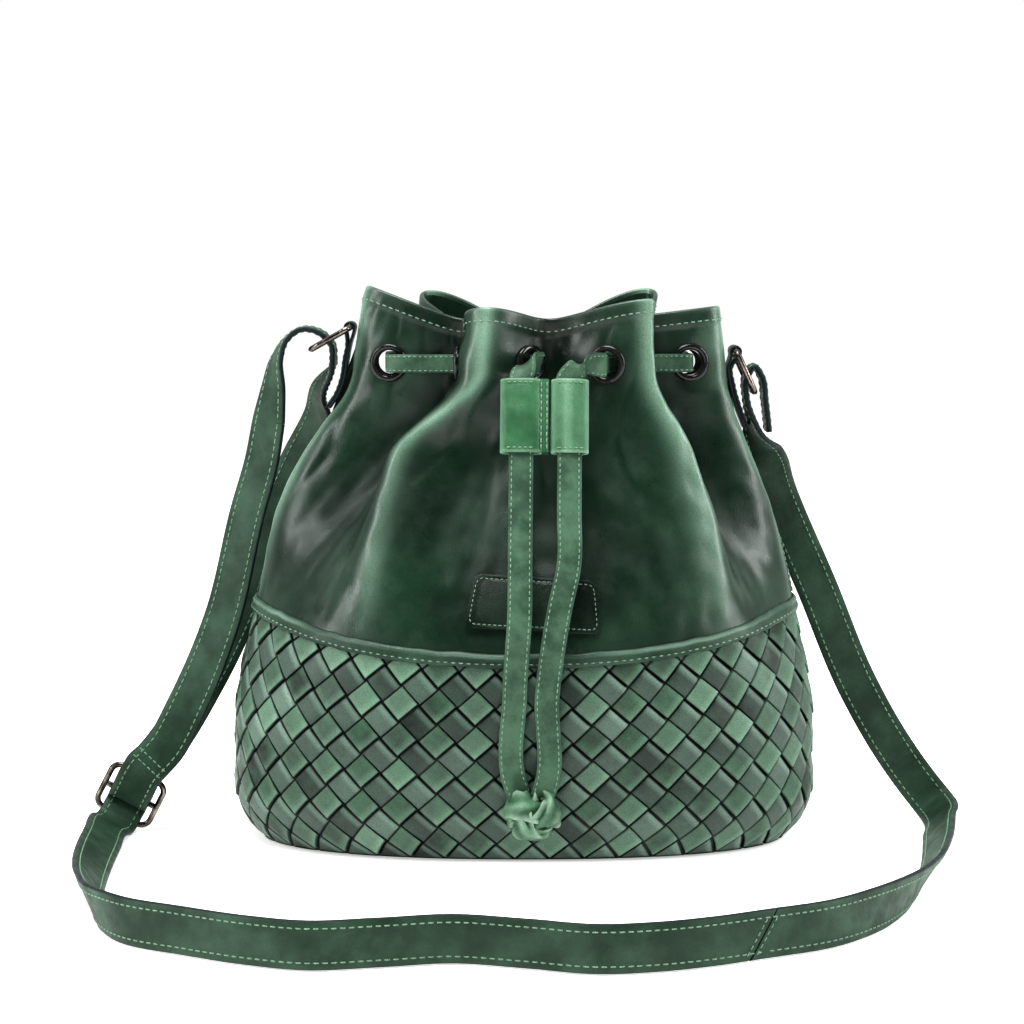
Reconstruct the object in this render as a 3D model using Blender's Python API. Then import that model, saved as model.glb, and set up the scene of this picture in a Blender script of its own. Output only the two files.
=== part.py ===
"""A leather drawstring bucket bag with a woven lower half and an adjustable shoulder strap.

Units are metres, +Z is up and the front faces -Y. The origin is the middle of the base's underside.
The bag's wall is one surface, a function of the angle round the bag and of the height, and every
panel, band, eyelet and patch is laid on that surface at its own distance from it.
"""

import math

import bmesh
import bpy
import numpy as np
from mathutils import Matrix, Vector

MM = 0.001

# Overall sizes
HALF_WIDTH = 146 * MM  # at the widest height
HALF_DEPTH = 86 * MM
BAG_HEIGHT = 270 * MM  # average height of the rim
OVAL_POWER = 2.3  # the plan is a superellipse, squarer than an ellipse
PLAN_SHIFT = 9 * MM  # how far the mouth stands to the right of the base

# The wall's profile: height, width and depth as shares of the sizes above
PROFILE_HEIGHT = (0.0, 0.03, 0.18, 0.45, 0.63, 0.76, 0.84, 0.91, 1.03)
PROFILE_WIDTH = (0.88, 0.945, 1.0, 0.925, 0.845, 0.735, 0.66, 0.638, 0.6)
PROFILE_DEPTH = (0.73, 0.84, 1.0, 0.98, 0.84, 0.69, 0.61, 0.57, 0.545)
PROFILE_SHIFT = (0.0, 0.0, 0.0, 0.05, 0.15, 0.3, 0.68, 0.75, 1.0)

# Pleats of the gathered mouth: the angle of each ridge, and the rim's height on it and after it
RIDGE_ANGLES = (-8, 55, 127, 188, 256, 303)
RIDGE_RISE = (-2 * MM, 6 * MM, 5 * MM, 8 * MM, -2 * MM, 2 * MM)
VALLEY_RISE = (-8 * MM, -16 * MM, -6 * MM, -8 * MM, -8 * MM, -7 * MM)
PLEAT_DEPTH = 0.40  # share of the radius lost in a valley at the mouth
PLEAT_FOOT = 0.47  # share of the height where the pleats begin
PLEAT_FULL = 0.86  # and where they are deepest
PLEAT_ONSET = 1.5  # how slowly they begin

# Walls and fits
LEATHER = 1.3 * MM
WEAVE_WALL = 2.2 * MM
LINING_WALL = 0.8 * MM
LAYER_GAP = 0.7 * MM
EDGE_GAP = 0.25 * MM
FLOOR_GAP = 0.3 * MM
BASE_PLATE = 2.0 * MM
BOARD_PLATE = 1.5 * MM
BOARD_INSET = 6 * MM
FACING_DEPTH = 44 * MM  # facing's lower edge below the average rim
FACING_SEAM = 0.4 * MM

# Seam band, side welts and label patch
BAND_CENTRE_HEIGHT = 101 * MM
BAND_SIDE_RISE = 19 * MM
BAND_WIDTH = 7 * MM
BAND_THICKNESS = 2.2 * MM
WELT_WIDTH = 6 * MM
WELT_THICKNESS = 1.4 * MM
PATCH_WIDTH = 70 * MM
PATCH_HEIGHT = 27 * MM
PATCH_CORNER = 5 * MM
PATCH_THICKNESS = 1.5 * MM
PATCH_SEAT = 1.0 * MM  # clears the facets of the wall behind it
PATCH_TILT = math.radians(-3)
PATCH_X = 6 * MM
PATCH_Z = BAND_CENTRE_HEIGHT + 26.5 * MM

# Eyelets
EYELET_Z = BAG_HEIGHT - 30 * MM
EYELET_BORE = 12.6 * MM
EYELET_BARREL_WALL = 0.6 * MM
EYELET_FLANGE = 19 * MM
EYELET_CROWN = 1.4 * MM
EYELET_HOLE_GAP = 0.4 * MM
EYELET_SEAT = 0.8 * MM  # clears the facets of the wall under the flange
WASHER_THICKNESS = 0.7 * MM
ROUND_STEPS = 10

# Drawstring, tails, stopper and knot
STRING_WIDTH = 8.4 * MM  # gathered where it runs through the eyelets
TAIL_WIDTH = 12 * MM
STRING_STEPS = (-4.9 * MM, -2.6 * MM, 0.3 * MM, 2.9 * MM)  # through an eyelet, from inside to outside
CENTRE_EYELETS = (8, 9)  # the two in front that the tails leave by
STRING_THICKNESS = 1.9 * MM
STOPPER_X = 9.5 * MM
STOPPER_BELOW_RIM = 54 * MM
STOPPER_STANDOFF = 10.177 * MM  # from the wall's furthest front
SLIDE_DIRECTION = Vector((-0.01, -0.36, -1)).normalized()  # down the tails' straight stretch
STOPPER_WIDTH = 44 * MM
STOPPER_HEIGHT = 37 * MM
STOPPER_WALL = 1.6 * MM
CHANNEL_GAP = 0.8 * MM
CHANNEL_WIDTHS = (17 * MM, 15 * MM)
CHANNEL_CENTRES = (-11 * MM, 12.2 * MM)
TAILS_AXIS_Y = -42 * MM  # the tails swing about a line across the two centre eyelets
TAIL_TURN_SHARE = 0.62  # where, between eyelet and stopper, a tail turns flat
TAIL_TURN_LIFT = Vector((0, -3.5, 3.5)) * MM
TAIL_ENTRY = 0.54  # a tail is in line with its channel this many stopper heights above its middle
TAIL_STRAIGHT = (0.5, 1.3, 2.0, 2.55)  # and stays in line down to the last of these
TAIL_CLOSING = 0.86  # how near the two tails have come there, as a share of the channels' spacing
TAIL_BEND_SHARE = 1.1  # the tails' lower bend, as a share of each foot's distance from the middle
TAIL_BEND = (-1 * MM, 85 * MM)  # its place in front of the knot's middle, and its height
TAIL_FEET = (-7.5 * MM, 6.5 * MM)  # where each tail enters the knot, from its middle
KNOT_SIZE = (31 * MM, 17 * MM, 27 * MM)
KNOT_X = 3.5 * MM
KNOT_Z = 28 * MM
KNOT_STANDOFF = 9.8 * MM

# Strap, rings, tabs and slide adjuster
STRAP_WIDTH = 21 * MM
STRAP_THICKNESS = 2.4 * MM
WIRE = 3.0 * MM
RING_REACH = 22 * MM
RING_GAP = 2.0 * MM
RING_CORNER = 5 * MM
TAB_WIDTH = 18 * MM
TAB_THICKNESS = 1.2 * MM
TAB_LAYER_GAP = 0.3 * MM
TAB_WRAP = (205, -25)  # degrees of the tab's turn round the ring's bar
TAB_BELOW_BAR = 3.4  # the tab's straight run ends this many loop radii below the bar
RING_LEFT_BELOW_RIM = 13 * MM
RING_RIGHT_BELOW_RIM = 25 * MM
RING_LEFT_OUT = 3.896 * MM  # from the wall's side at the ring's height
RING_RIGHT_OUT = 6.514 * MM
RING_LEFT_POINTS = Vector((-0.87, 0, -0.49))
RING_RIGHT_POINTS = Vector((0.42, 0, -0.907))
TAB_LEFT_FOOT = BAG_HEIGHT - 53 * MM
TAB_RIGHT_FOOT = BAG_HEIGHT - 63 * MM
ADJUSTER_CENTRE = Vector((-200.5, 1, 19)) * MM
ADJUSTER_UP = Vector((0.46, -0.1, 0.88)).normalized()
ADJUSTER_ACROSS = Vector((-0.89, 0, 0.46)).normalized()
ADJUSTER_HALF_HEIGHT = 12.3 * MM
ADJUSTER_SIDE_GAP = 2.6 * MM

WEAVE_ROWS = (0, 0.06, 0.16, 0.36, 0.66, 1)  # shares of the woven wall's height
LINING_ROWS = (0, 0.05, 0.16, 0.45, 0.64, 0.78, 0.89, 1)
LINING_SLACK = 0.6 * MM  # the lining hangs a little clear of the wall
LINING_FLOOR_GAP = 0.4 * MM
LINING_CORNER_INSET = 1.5 * MM  # extra room for the woven wall's round foot
PANEL_COLUMNS = 36  # facets in half a turn, the same for every layer so that they nest


# Surface of the bag's wall


def smooth_through(knots, values, at):
    """Cubic Hermite curve through the values, with each knot's slope the mean of its neighbours'."""
    knots, values, at = (np.asarray(a, float) for a in (knots, values, at))
    slopes = np.gradient(values, knots)
    i = np.clip(np.searchsorted(knots, at, side="right") - 1, 0, len(knots) - 2)
    step = knots[i + 1] - knots[i]
    t = (at - knots[i]) / step
    return (
        values[i] * (1 + 2 * t) * (1 - t) ** 2
        + values[i + 1] * t * t * (3 - 2 * t)
        + step * (slopes[i] * t * (1 - t) ** 2 + slopes[i + 1] * t * t * (t - 1))
    )


def ease(share):
    """Smooth step from 0 to 1."""
    share = np.clip(share, 0, 1)
    return share * share * (3 - 2 * share)


def pleat_place(angle):
    """For each angle, the pleat it lies in and its phase: 0 on a ridge, pi in the valley after it."""
    degrees = np.degrees(angle)
    ridges = np.array(RIDGE_ANGLES + (RIDGE_ANGLES[0] + 360,), float)
    turned = (degrees - ridges[0]) % 360 + ridges[0]
    pleat = np.clip(np.searchsorted(ridges, turned, side="right") - 1, 0, len(RIDGE_ANGLES) - 1)
    phase = 2 * math.pi * (turned - ridges[pleat]) / (ridges[pleat + 1] - ridges[pleat])
    return pleat, phase


def rim_height(angle):
    """Height of the rim: it rises on each ridge and dips in each valley."""
    pleat, phase = pleat_place(angle)
    ridge = np.array(RIDGE_RISE + RIDGE_RISE[:1])
    valley = np.array(VALLEY_RISE)[pleat]
    near = np.where(phase < math.pi, ridge[pleat], ridge[pleat + 1])
    return BAG_HEIGHT + valley + (near - valley) * (1 + np.cos(phase)) / 2


def wall_point(angle, height):
    """Point of the wall's outer surface: a superellipse, drawn in by the pleats towards the mouth."""
    angle, height = np.broadcast_arrays(np.asarray(angle, float), np.asarray(height, float))
    share = height / BAG_HEIGHT
    width, depth, shift = (
        smooth_through(PROFILE_HEIGHT, values, share)
        for values in (PROFILE_WIDTH, PROFILE_DEPTH, PROFILE_SHIFT)
    )
    _, phase = pleat_place(angle)
    pleat_depth = PLEAT_DEPTH * ease((share - PLEAT_FOOT) / (PLEAT_FULL - PLEAT_FOOT)) ** PLEAT_ONSET
    drawn = 1 - pleat_depth * (1 - np.cos(phase)) / 2
    power = 2 / OVAL_POWER
    across, along = np.cos(angle), np.sin(angle)
    x = HALF_WIDTH * width * drawn * np.sign(across) * np.abs(across) ** power
    y = HALF_DEPTH * depth * drawn * np.sign(along) * np.abs(along) ** power
    return np.stack([x + PLAN_SHIFT * shift, y, height], -1)


def wall_normal(angle, height):
    """Outward normal of the wall's outline at one height, level with the floor."""
    step = 0.004
    turn = wall_point(angle + step, height) - wall_point(angle - step, height)
    normal = np.stack([turn[..., 1], -turn[..., 0], np.zeros_like(turn[..., 0])], -1)
    return normal / np.linalg.norm(normal, axis=-1, keepdims=True)


def laid_on(angle, height, distance):
    """Point at a distance outside the wall; a distance below 0 is inside it."""
    normal = wall_normal(angle, height)
    return wall_point(angle, height) + normal * np.asarray(distance)[..., None]


def near_point(angle, height, along, up, distance):
    """Point laid on the wall at a sideways and an upward distance from a centre on it."""
    step = 0.01
    turn = np.linalg.norm(wall_point(angle + step, height) - wall_point(angle - step, height))
    rise = np.linalg.norm(wall_point(angle, height + MM) - wall_point(angle, height - MM))
    return laid_on(angle + along * 2 * step / turn, height + up * 2 * MM / rise, distance)


def band_height(angle):
    """Height of the seam between the woven half and the smooth half: lowest at front and back."""
    return BAND_CENTRE_HEIGHT + BAND_SIDE_RISE * np.cos(angle) ** 2


def side_x(height, side):
    """Furthest reach of the wall to one side, at one height."""
    angles = np.linspace(0, 2 * math.pi, 361)
    return side * (side * wall_point(angles, height)[:, 0]).max()


def beside_wall(below_rim, out, side):
    """Middle of a ring's bar: out from the wall's side at its own height."""
    height = BAG_HEIGHT - below_rim
    return Vector((side_x(height, side) + side * out, 0, height))


def before_wall(x, height, standoff):
    """Point in front of the wall's furthest front at its own height."""
    angles = np.linspace(0, 2 * math.pi, 721)
    return Vector((x, wall_point(angles, height)[:, 1].min() - standoff, height))


RING_LEFT_AXIS = beside_wall(RING_LEFT_BELOW_RIM, RING_LEFT_OUT, -1)
RING_RIGHT_AXIS = beside_wall(RING_RIGHT_BELOW_RIM, RING_RIGHT_OUT, 1)
STOPPER_CENTRE = before_wall(STOPPER_X, BAG_HEIGHT - STOPPER_BELOW_RIM, STOPPER_STANDOFF)
KNOT_CENTRE = before_wall(KNOT_X, KNOT_Z, KNOT_STANDOFF)


# Building objects


def material(name, color, roughness, metallic=0.0):
    made = bpy.data.materials.new(name)
    made.use_nodes = True
    shader = made.node_tree.nodes["Principled BSDF"]
    shader.inputs["Base Color"].default_value = (*color, 1)
    shader.inputs["Roughness"].default_value = roughness
    shader.inputs["Metallic"].default_value = metallic
    return made


def add_object(name, points, faces, finish, origin=(0, 0, 0)):
    mesh = bpy.data.meshes.new(name)
    mesh.from_pydata([tuple(Vector(p) - Vector(origin)) for p in points], [], faces)
    mesh.materials.append(finish)
    work = bmesh.new()
    work.from_mesh(mesh)
    bmesh.ops.recalc_face_normals(work, faces=work.faces)
    bmesh.ops.triangulate(work, faces=work.faces)
    work.to_mesh(mesh)
    work.free()
    mesh.shade_smooth()
    mesh.set_sharp_from_angle(angle=math.radians(40))
    made = bpy.data.objects.new(name, mesh)
    made.location = origin
    bpy.context.collection.objects.link(made)
    return made


def swept_faces(rows, columns, rows_closed, columns_closed):
    """Quads of a grid of rows by columns, numbered row by row."""
    faces = []
    for i in range(rows if rows_closed else rows - 1):
        for j in range(columns if columns_closed else columns - 1):
            k, m = (i + 1) % rows, (j + 1) % columns
            faces.append((i * columns + j, i * columns + m, k * columns + m, k * columns + j))
    return faces


def even(rows):
    """Shares of the height for evenly spaced rows of points."""
    return np.linspace(0, 1, rows)


def shell(name, finish, angles, low, high, distances, shares):
    """A panel of even wall laid on the bag between two angles and two heights."""
    angles, share, rows = np.asarray(angles), np.asarray(shares)[:, None], len(shares)
    height = low(angles) + (high(angles) - low(angles)) * share
    outer = laid_on(angles[None, :], height, np.full(height.shape, max(distances)))
    inner = laid_on(angles[None, :], height, np.full(height.shape, min(distances)))
    columns = len(angles)
    loops = np.concatenate([outer, inner[::-1]]).reshape(-1, 3)
    faces = swept_faces(2 * rows, columns, True, False)
    for side in (0, columns - 1):
        for i in range(rows - 1):
            j = 2 * rows - 1 - i
            faces.append(tuple(k * columns + side for k in (i, i + 1, j - 1, j)))
    return add_object(name, loops, faces, finish)


def half_turn(front):
    """Angles of the front or back panel, stopping short of the side seams."""
    start = math.pi if front else 0
    gap = EDGE_GAP / HALF_DEPTH
    turn = np.linspace(start, start + math.pi, PANEL_COLUMNS + 1)
    turn[0] += gap
    turn[-1] -= gap
    return turn


def level(height):
    return lambda angle: np.full(np.shape(angle), height)


def ring_on_wall(name, finish, angle, height, profile):
    """A turned piece laid on the wall: its profile of radius and distance goes round a centre."""
    turn = np.linspace(0, 2 * math.pi, ROUND_STEPS, endpoint=False)[:, None]
    radius = np.array([p[0] for p in profile])
    distance = np.array([p[1] for p in profile])
    points = near_point(
        angle,
        height,
        radius * np.cos(turn),
        radius * np.sin(turn),
        np.broadcast_to(distance, (ROUND_STEPS, len(profile))),
    )
    faces = swept_faces(ROUND_STEPS, len(profile), True, True)
    return add_object(name, points.reshape(-1, 3), faces, finish)


def plate_on_wall(name, finish, angle, height, outline, rings, distances):
    """A closed plate laid on the wall, from an outline of sideways and upward distances."""
    shares = np.linspace(1, 0, rings + 1)[:-1]
    layers = []
    for distance in distances:
        flat = outline[None] * shares[:, None, None]
        layers.append(
            near_point(angle, height, flat[..., 0], flat[..., 1], np.full(flat.shape[:2], distance))
        )
    count = len(outline)
    points = np.concatenate([layers[0][::-1], layers[1]]).reshape(-1, 3)
    faces = swept_faces(2 * rings, count, False, True)
    first = near_point(angle, height, 0.0, 0.0, np.array(distances[0]))
    last = near_point(angle, height, 0.0, 0.0, np.array(distances[1]))
    points = np.concatenate([points, [first, last]])
    end = (2 * rings - 1) * count
    for j in range(count):
        m = (j + 1) % count
        faces.append((j, m, 2 * rings * count))
        faces.append((end + m, end + j, 2 * rings * count + 1))
    return add_object(name, points, faces, finish)


def resample(points, count):
    """Evenly spaced points on the smooth curve through the given points."""
    points = np.asarray(points, float)
    knots = np.concatenate([[0], np.cumsum(np.linalg.norm(np.diff(points[:, :3], axis=0), axis=1))])
    fine = np.linspace(0, knots[-1], 40 * len(points))
    curve = np.stack([smooth_through(knots, column, fine) for column in points.T], -1)
    length = np.concatenate([[0], np.cumsum(np.linalg.norm(np.diff(curve[:, :3], axis=0), axis=1))])
    even = np.linspace(0, length[-1], count)
    return np.stack([np.interp(even, length, column) for column in curve.T], -1)


def ribbon(name, finish, route, width, thickness, count, origin=(0, 0, 0)):
    """A flat strap along a route; each point holds a place and the direction of the strap's width."""
    line = resample(route, count) if count else np.asarray(route, float)
    centre, across = line[:, :3], line[:, 3:]
    ahead = np.gradient(centre, axis=0)
    ahead /= np.linalg.norm(ahead, axis=1, keepdims=True)
    face = np.cross(ahead, across)
    face /= np.linalg.norm(face, axis=1, keepdims=True)
    across = np.cross(face, ahead)
    corners = [
        centre + side * across * width / 2 + layer * face * thickness / 2
        for side, layer in ((-1, -1), (1, -1), (1, 1), (-1, 1))
    ]
    points = np.stack(corners, 1).reshape(-1, 3)
    faces = swept_faces(len(centre), 4, False, True)
    end = 4 * (len(centre) - 1)
    faces += [(0, 1, 2, 3), (end + 3, end + 2, end + 1, end)]
    return add_object(name, points, faces, finish, origin)


def cut(target, cutter):
    cutter.hide_render = True
    cutter.display_type = "WIRE"
    step = target.modifiers.new(cutter.name, "BOOLEAN")
    step.operation = "DIFFERENCE"
    step.object = cutter
    step.solver = "EXACT"


def join_as(name, objects):
    """One helper object of several closed meshes that don't meet."""
    work = bmesh.new()
    for piece in objects:
        work.from_mesh(piece.data)
        bpy.data.objects.remove(piece)
    mesh = bpy.data.meshes.new(name)
    work.to_mesh(mesh)
    work.free()
    made = bpy.data.objects.new(name, mesh)
    bpy.context.collection.objects.link(made)
    return made


def wire_loop(name, finish, corners, origin):
    """A closed loop of round wire through its corner points."""
    curve = bpy.data.curves.new(name, "CURVE")
    curve.dimensions = "3D"
    curve.bevel_depth = WIRE / 2
    curve.bevel_resolution = 1
    curve.materials.append(finish)
    spline = curve.splines.new("POLY")
    spline.points.add(len(corners) - 1)
    for point, place in zip(spline.points, corners):
        point.co = (*(Vector(place) - Vector(origin)), 1)
    spline.use_cyclic_u = True
    made = bpy.data.objects.new(name, curve)
    made.location = origin
    bpy.context.collection.objects.link(made)
    return made


# Sub-parts


def eyelet_places():
    """The angle of each eyelet: halfway down both flanks of every valley, in order round the bag."""
    ridges = RIDGE_ANGLES + (RIDGE_ANGLES[0] + 360,)
    return [
        math.radians(ridges[i] + share * (ridges[i + 1] - ridges[i]))
        for i in range(len(RIDGE_ANGLES))
        for share in (0.25, 0.75)
    ]


def disc_outline(radius):
    turn = np.linspace(0, 2 * math.pi, ROUND_STEPS, endpoint=False)
    return radius * np.stack([np.cos(turn), np.sin(turn)], -1)


def hole_cutter(name, angles, finish):
    radius = EYELET_BORE / 2 + EYELET_BARREL_WALL + EYELET_HOLE_GAP
    plugs = [
        plate_on_wall("plug", finish, angle, EYELET_Z, disc_outline(radius), 1, (-6 * MM, 5 * MM))
        for angle in angles
    ]
    return join_as(name, plugs)


def closed_shell(name, finish, low, high, distances, shares):
    """A band of even wall that goes all the way round the bag."""
    angles = np.linspace(0, 2 * math.pi, 2 * PANEL_COLUMNS, endpoint=False)
    share, rows = np.asarray(shares)[:, None], len(shares)
    height = low(angles) + (high(angles) - low(angles)) * share
    layers = [
        laid_on(angles[None, :], height, np.full(height.shape, distance)) for distance in distances
    ]
    points = np.concatenate([layers[0], layers[1][::-1]]).reshape(-1, 3)
    faces = swept_faces(2 * rows, len(angles), True, True)
    return add_object(name, points, faces, finish)


def make_panels(leather, weave, lining):
    facing_low = BAG_HEIGHT - FACING_DEPTH
    facing_outer = -(LEATHER + LAYER_GAP)
    facing_inner = facing_outer - LINING_WALL
    places = eyelet_places()
    for side, front in (("front", True), ("back", False)):
        angles = half_turn(front)
        upper = shell(
            f"upper_{side}_panel",
            leather,
            angles,
            lambda a: band_height(a) + EDGE_GAP,
            rim_height,
            (0, -LEATHER),
            even(9),
        )
        inside = [a for a in places if (math.sin(a) < 0) == front]
        cut(upper, hole_cutter(f"{side}_eyelet_cutter", inside, leather))
        shell(
            f"woven_{side}_panel",
            weave,
            angles[::2],
            level(FLOOR_GAP),
            lambda a: band_height(a) - EDGE_GAP,
            (0, -WEAVE_WALL),
            WEAVE_ROWS,
        )
        shell(
            f"seam_band_{side}",
            leather,
            angles[::2],
            lambda a: band_height(a) - BAND_WIDTH / 2,
            lambda a: band_height(a) + BAND_WIDTH / 2,
            (LAYER_GAP, LAYER_GAP + BAND_THICKNESS),
            even(2),
        )
    facing = closed_shell(
        "mouth_facing",
        lining,
        level(facing_low),
        lambda a: rim_height(a) - 2 * MM,
        (facing_outer, facing_inner),
        even(4),
    )
    cut(facing, hole_cutter("facing_eyelet_cutter", places, lining))
    make_lining(lining, facing_low - FACING_SEAM)


def make_lining(finish, top):
    """The lining: an open cup inside the wall, with a flat floor over the base board."""
    floor = BASE_PLATE + BOARD_PLATE + 2 * FLOOR_GAP + LINING_FLOOR_GAP
    outer = -(WEAVE_WALL + LAYER_GAP + LINING_SLACK)
    angles = np.linspace(0, 2 * math.pi, 2 * PANEL_COLUMNS, endpoint=False)
    share = np.array(LINING_ROWS)[:, None]
    rows = []
    for start, distance in ((floor, outer), (floor + LINING_WALL, outer - LINING_WALL)):
        height = start + (top - start) * share + 0 * angles
        corner = LINING_CORNER_INSET * (1 - ease(height / BAND_CENTRE_HEIGHT))
        rows.append(laid_on(angles[None, :], height, distance - corner))
    count = len(angles)
    points = np.concatenate([rows[0], rows[1][::-1]]).reshape(-1, 3)
    faces = swept_faces(2 * len(share), count, False, True)
    points = np.concatenate([points, [(0, 0, floor), (0, 0, floor + LINING_WALL)]])
    end, centre = (2 * len(share) - 1) * count, 2 * len(share) * count
    for j in range(count):
        m = (j + 1) % count
        faces.append((m, j, centre))
        faces.append((end + j, end + m, centre + 1))
    return add_object("lining", points, faces, finish)


def flat_plate(name, finish, inset, low, thickness):
    """A level plate whose outline follows the wall's foot at an inset."""
    angles = np.linspace(0, 2 * math.pi, PANEL_COLUMNS, endpoint=False)
    outline = laid_on(angles, np.zeros_like(angles), np.full(angles.shape, -inset))
    bottom, top = outline.copy(), outline.copy()
    bottom[:, 2], top[:, 2] = low, low + thickness
    count = len(angles)
    faces = swept_faces(2, count, False, True)
    faces += [tuple(range(count)), tuple(range(2 * count - 1, count - 1, -1))]
    return add_object(name, np.concatenate([bottom, top]), faces, finish)


def make_base(leather, board):
    flat_plate("base_panel", leather, WEAVE_WALL + LAYER_GAP, 0, BASE_PLATE)
    flat_plate("base_board", board, BOARD_INSET, BASE_PLATE + FLOOR_GAP, BOARD_PLATE)


def make_side_welts(leather):
    for name, angle, top in (
        ("side_welt_right", 0.0, TAB_RIGHT_FOOT),
        ("side_welt_left", math.pi, TAB_LEFT_FOOT),
    ):
        middle = wall_point(angle + 0.01, 0.17) - wall_point(angle - 0.01, 0.17)
        half = WELT_WIDTH / 2 * 0.02 / np.linalg.norm(middle)
        shell(
            name,
            leather,
            np.linspace(angle - half, angle + half, 3),
            lambda a: band_height(a) + BAND_WIDTH / 2 + 2 * EDGE_GAP,
            level(top - 2 * MM),
            (LAYER_GAP, LAYER_GAP + WELT_THICKNESS),
            even(7),
        )


def make_patch(leather):
    corners = []
    for i, (sx, sz) in enumerate(((1, -1), (1, 1), (-1, 1), (-1, -1))):
        centre = (sx * (PATCH_WIDTH / 2 - PATCH_CORNER), sz * (PATCH_HEIGHT / 2 - PATCH_CORNER))
        for step in range(4):
            turn = math.pi / 2 * (i - 1 + step / 3)
            corners.append(
                (centre[0] + PATCH_CORNER * math.cos(turn), centre[1] + PATCH_CORNER * math.sin(turn))
            )
    flat = np.array(corners)
    tilt = np.array(
        [[math.cos(PATCH_TILT), -math.sin(PATCH_TILT)], [math.sin(PATCH_TILT), math.cos(PATCH_TILT)]]
    )
    angles = np.radians(np.linspace(240, 300, 601))
    angle = angles[np.argmin(np.abs(wall_point(angles, PATCH_Z)[:, 0] - PATCH_X))]
    distances = (PATCH_SEAT, PATCH_SEAT + PATCH_THICKNESS)
    plate_on_wall("label_patch", leather, angle, PATCH_Z, flat @ tilt.T, 4, distances)


def make_eyelets(metal):
    bore = EYELET_BORE / 2
    barrel = bore + EYELET_BARREL_WALL
    flange = EYELET_FLANGE / 2
    facing_inner = -(LEATHER + LAYER_GAP + LINING_WALL)
    washer = (facing_inner - LAYER_GAP, facing_inner - LAYER_GAP - WASHER_THICKNESS)
    crown = EYELET_SEAT + EYELET_CROWN
    for i, angle in enumerate(eyelet_places(), 1):
        profile = (
            (bore, EYELET_SEAT + EYELET_CROWN / 2),
            ((bore + flange) / 2, crown),
            (flange, EYELET_SEAT + EYELET_CROWN / 3),
            (flange, EYELET_SEAT),
            (barrel, EYELET_SEAT),
            (barrel, washer[1]),
            (bore, washer[1]),
        )
        ring_on_wall(f"eyelet_{i:02d}", metal, angle, EYELET_Z, profile)
        hole = barrel + EYELET_HOLE_GAP
        outer = flange - 0.6 * MM
        square = ((hole, washer[0]), (outer, washer[0]), (outer, washer[1]), (hole, washer[1]))
        ring_on_wall(f"eyelet_washer_{i:02d}", metal, angle, EYELET_Z, square)


def through_eyelet(place, outward):
    """Route points through one eyelet, along its own normal, with the string's width upright."""
    normal = wall_normal(place, EYELET_Z)
    centre = wall_point(place, EYELET_Z)
    steps = STRING_STEPS if outward else STRING_STEPS[::-1]
    return [(*(centre + normal * step), 0, 0, 1) for step in steps]


def make_drawstring(lace):
    """The string goes once round the mouth, inside each ridge and outside each valley."""
    places = eyelet_places()
    left = CENTRE_EYELETS[0]
    order = [(left - i) % len(places) for i in range(len(places))]
    route = []
    for i, eyelet in enumerate(order):
        route += through_eyelet(places[eyelet], i % 2 == 1)
    ribbon("drawstring", lace, route, STRING_WIDTH, STRING_THICKNESS, 100)


def tail_start(eyelet):
    """Where a tail leaves its eyelet: just past the end of the drawstring."""
    place = eyelet_places()[eyelet]
    normal = wall_normal(place, EYELET_Z)
    out = max(STRING_STEPS) + 4 * EDGE_GAP
    return Vector(wall_point(place, EYELET_Z) + normal * out), Vector(normal)


def stopper_place(across, drop):
    """Point in the stopper's plane at a sideways distance and a distance down its slope."""
    return STOPPER_CENTRE + SLIDE_DIRECTION * drop + Vector((across, 0, 0))


def make_tails(lace, origin):
    """Both tails run through the stopper's channels, hang clear of the front and meet in the knot."""
    knot_top = KNOT_CENTRE + Vector((0, 0, KNOT_SIZE[2] / 2 + FLOOR_GAP))
    bend_out, bend_z = TAIL_BEND
    for name, eyelet, channel, foot in zip(
        ("tail_left", "tail_right"), CENTRE_EYELETS, CHANNEL_CENTRES, TAIL_FEET
    ):
        start, normal = tail_start(eyelet)
        enter = stopper_place(channel, -TAIL_ENTRY * STOPPER_HEIGHT)
        turn_in = start.lerp(enter, TAIL_TURN_SHARE) + TAIL_TURN_LIFT
        route = [
            (*start, 0, 0, 1),
            (*(start + normal * 2 * MM), 0.1, 0, 1),
            (*turn_in, 0.8, 0, 0.5),
            (*enter, 1, 0, 0),
            (*stopper_place(channel, 0), 1, 0, 0),
        ]
        for drop in TAIL_STRAIGHT:
            below = (drop - TAIL_STRAIGHT[0]) / (TAIL_STRAIGHT[-1] - TAIL_STRAIGHT[0])
            across = channel * (1 - (1 - TAIL_CLOSING) * below)
            route.append((*stopper_place(across, drop * STOPPER_HEIGHT), 1, 0, 0))
        route += [
            (knot_top.x + foot * TAIL_BEND_SHARE, KNOT_CENTRE.y + bend_out, bend_z, 1, 0, 0),
            (knot_top.x + foot, KNOT_CENTRE.y, knot_top.z, 1, 0, 0),
        ]
        ribbon(name, lace, route, TAIL_WIDTH, STRING_THICKNESS, 40, origin)


def make_knot(lace, origin):
    work = bmesh.new()
    bmesh.ops.create_icosphere(work, subdivisions=2, radius=0.5)
    bmesh.ops.scale(work, vec=KNOT_SIZE, verts=work.verts)
    points = [tuple(vert.co + KNOT_CENTRE) for vert in work.verts]
    faces = [[vert.index for vert in face.verts] for face in work.faces]
    work.free()
    add_object("tail_knot", points, faces, lace, origin)


def block(name, finish, size, place):
    """A box of the given size, turned and moved by a matrix."""
    corners = [
        place @ Vector((x * size[0] / 2, y * size[1] / 2, z * size[2] / 2))
        for x in (-1, 1)
        for y in (-1, 1)
        for z in (-1, 1)
    ]
    faces = [(0, 1, 3, 2), (4, 6, 7, 5), (0, 4, 5, 1), (2, 3, 7, 6), (0, 2, 6, 4), (1, 5, 7, 3)]
    return add_object(name, corners, faces, finish)


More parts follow.
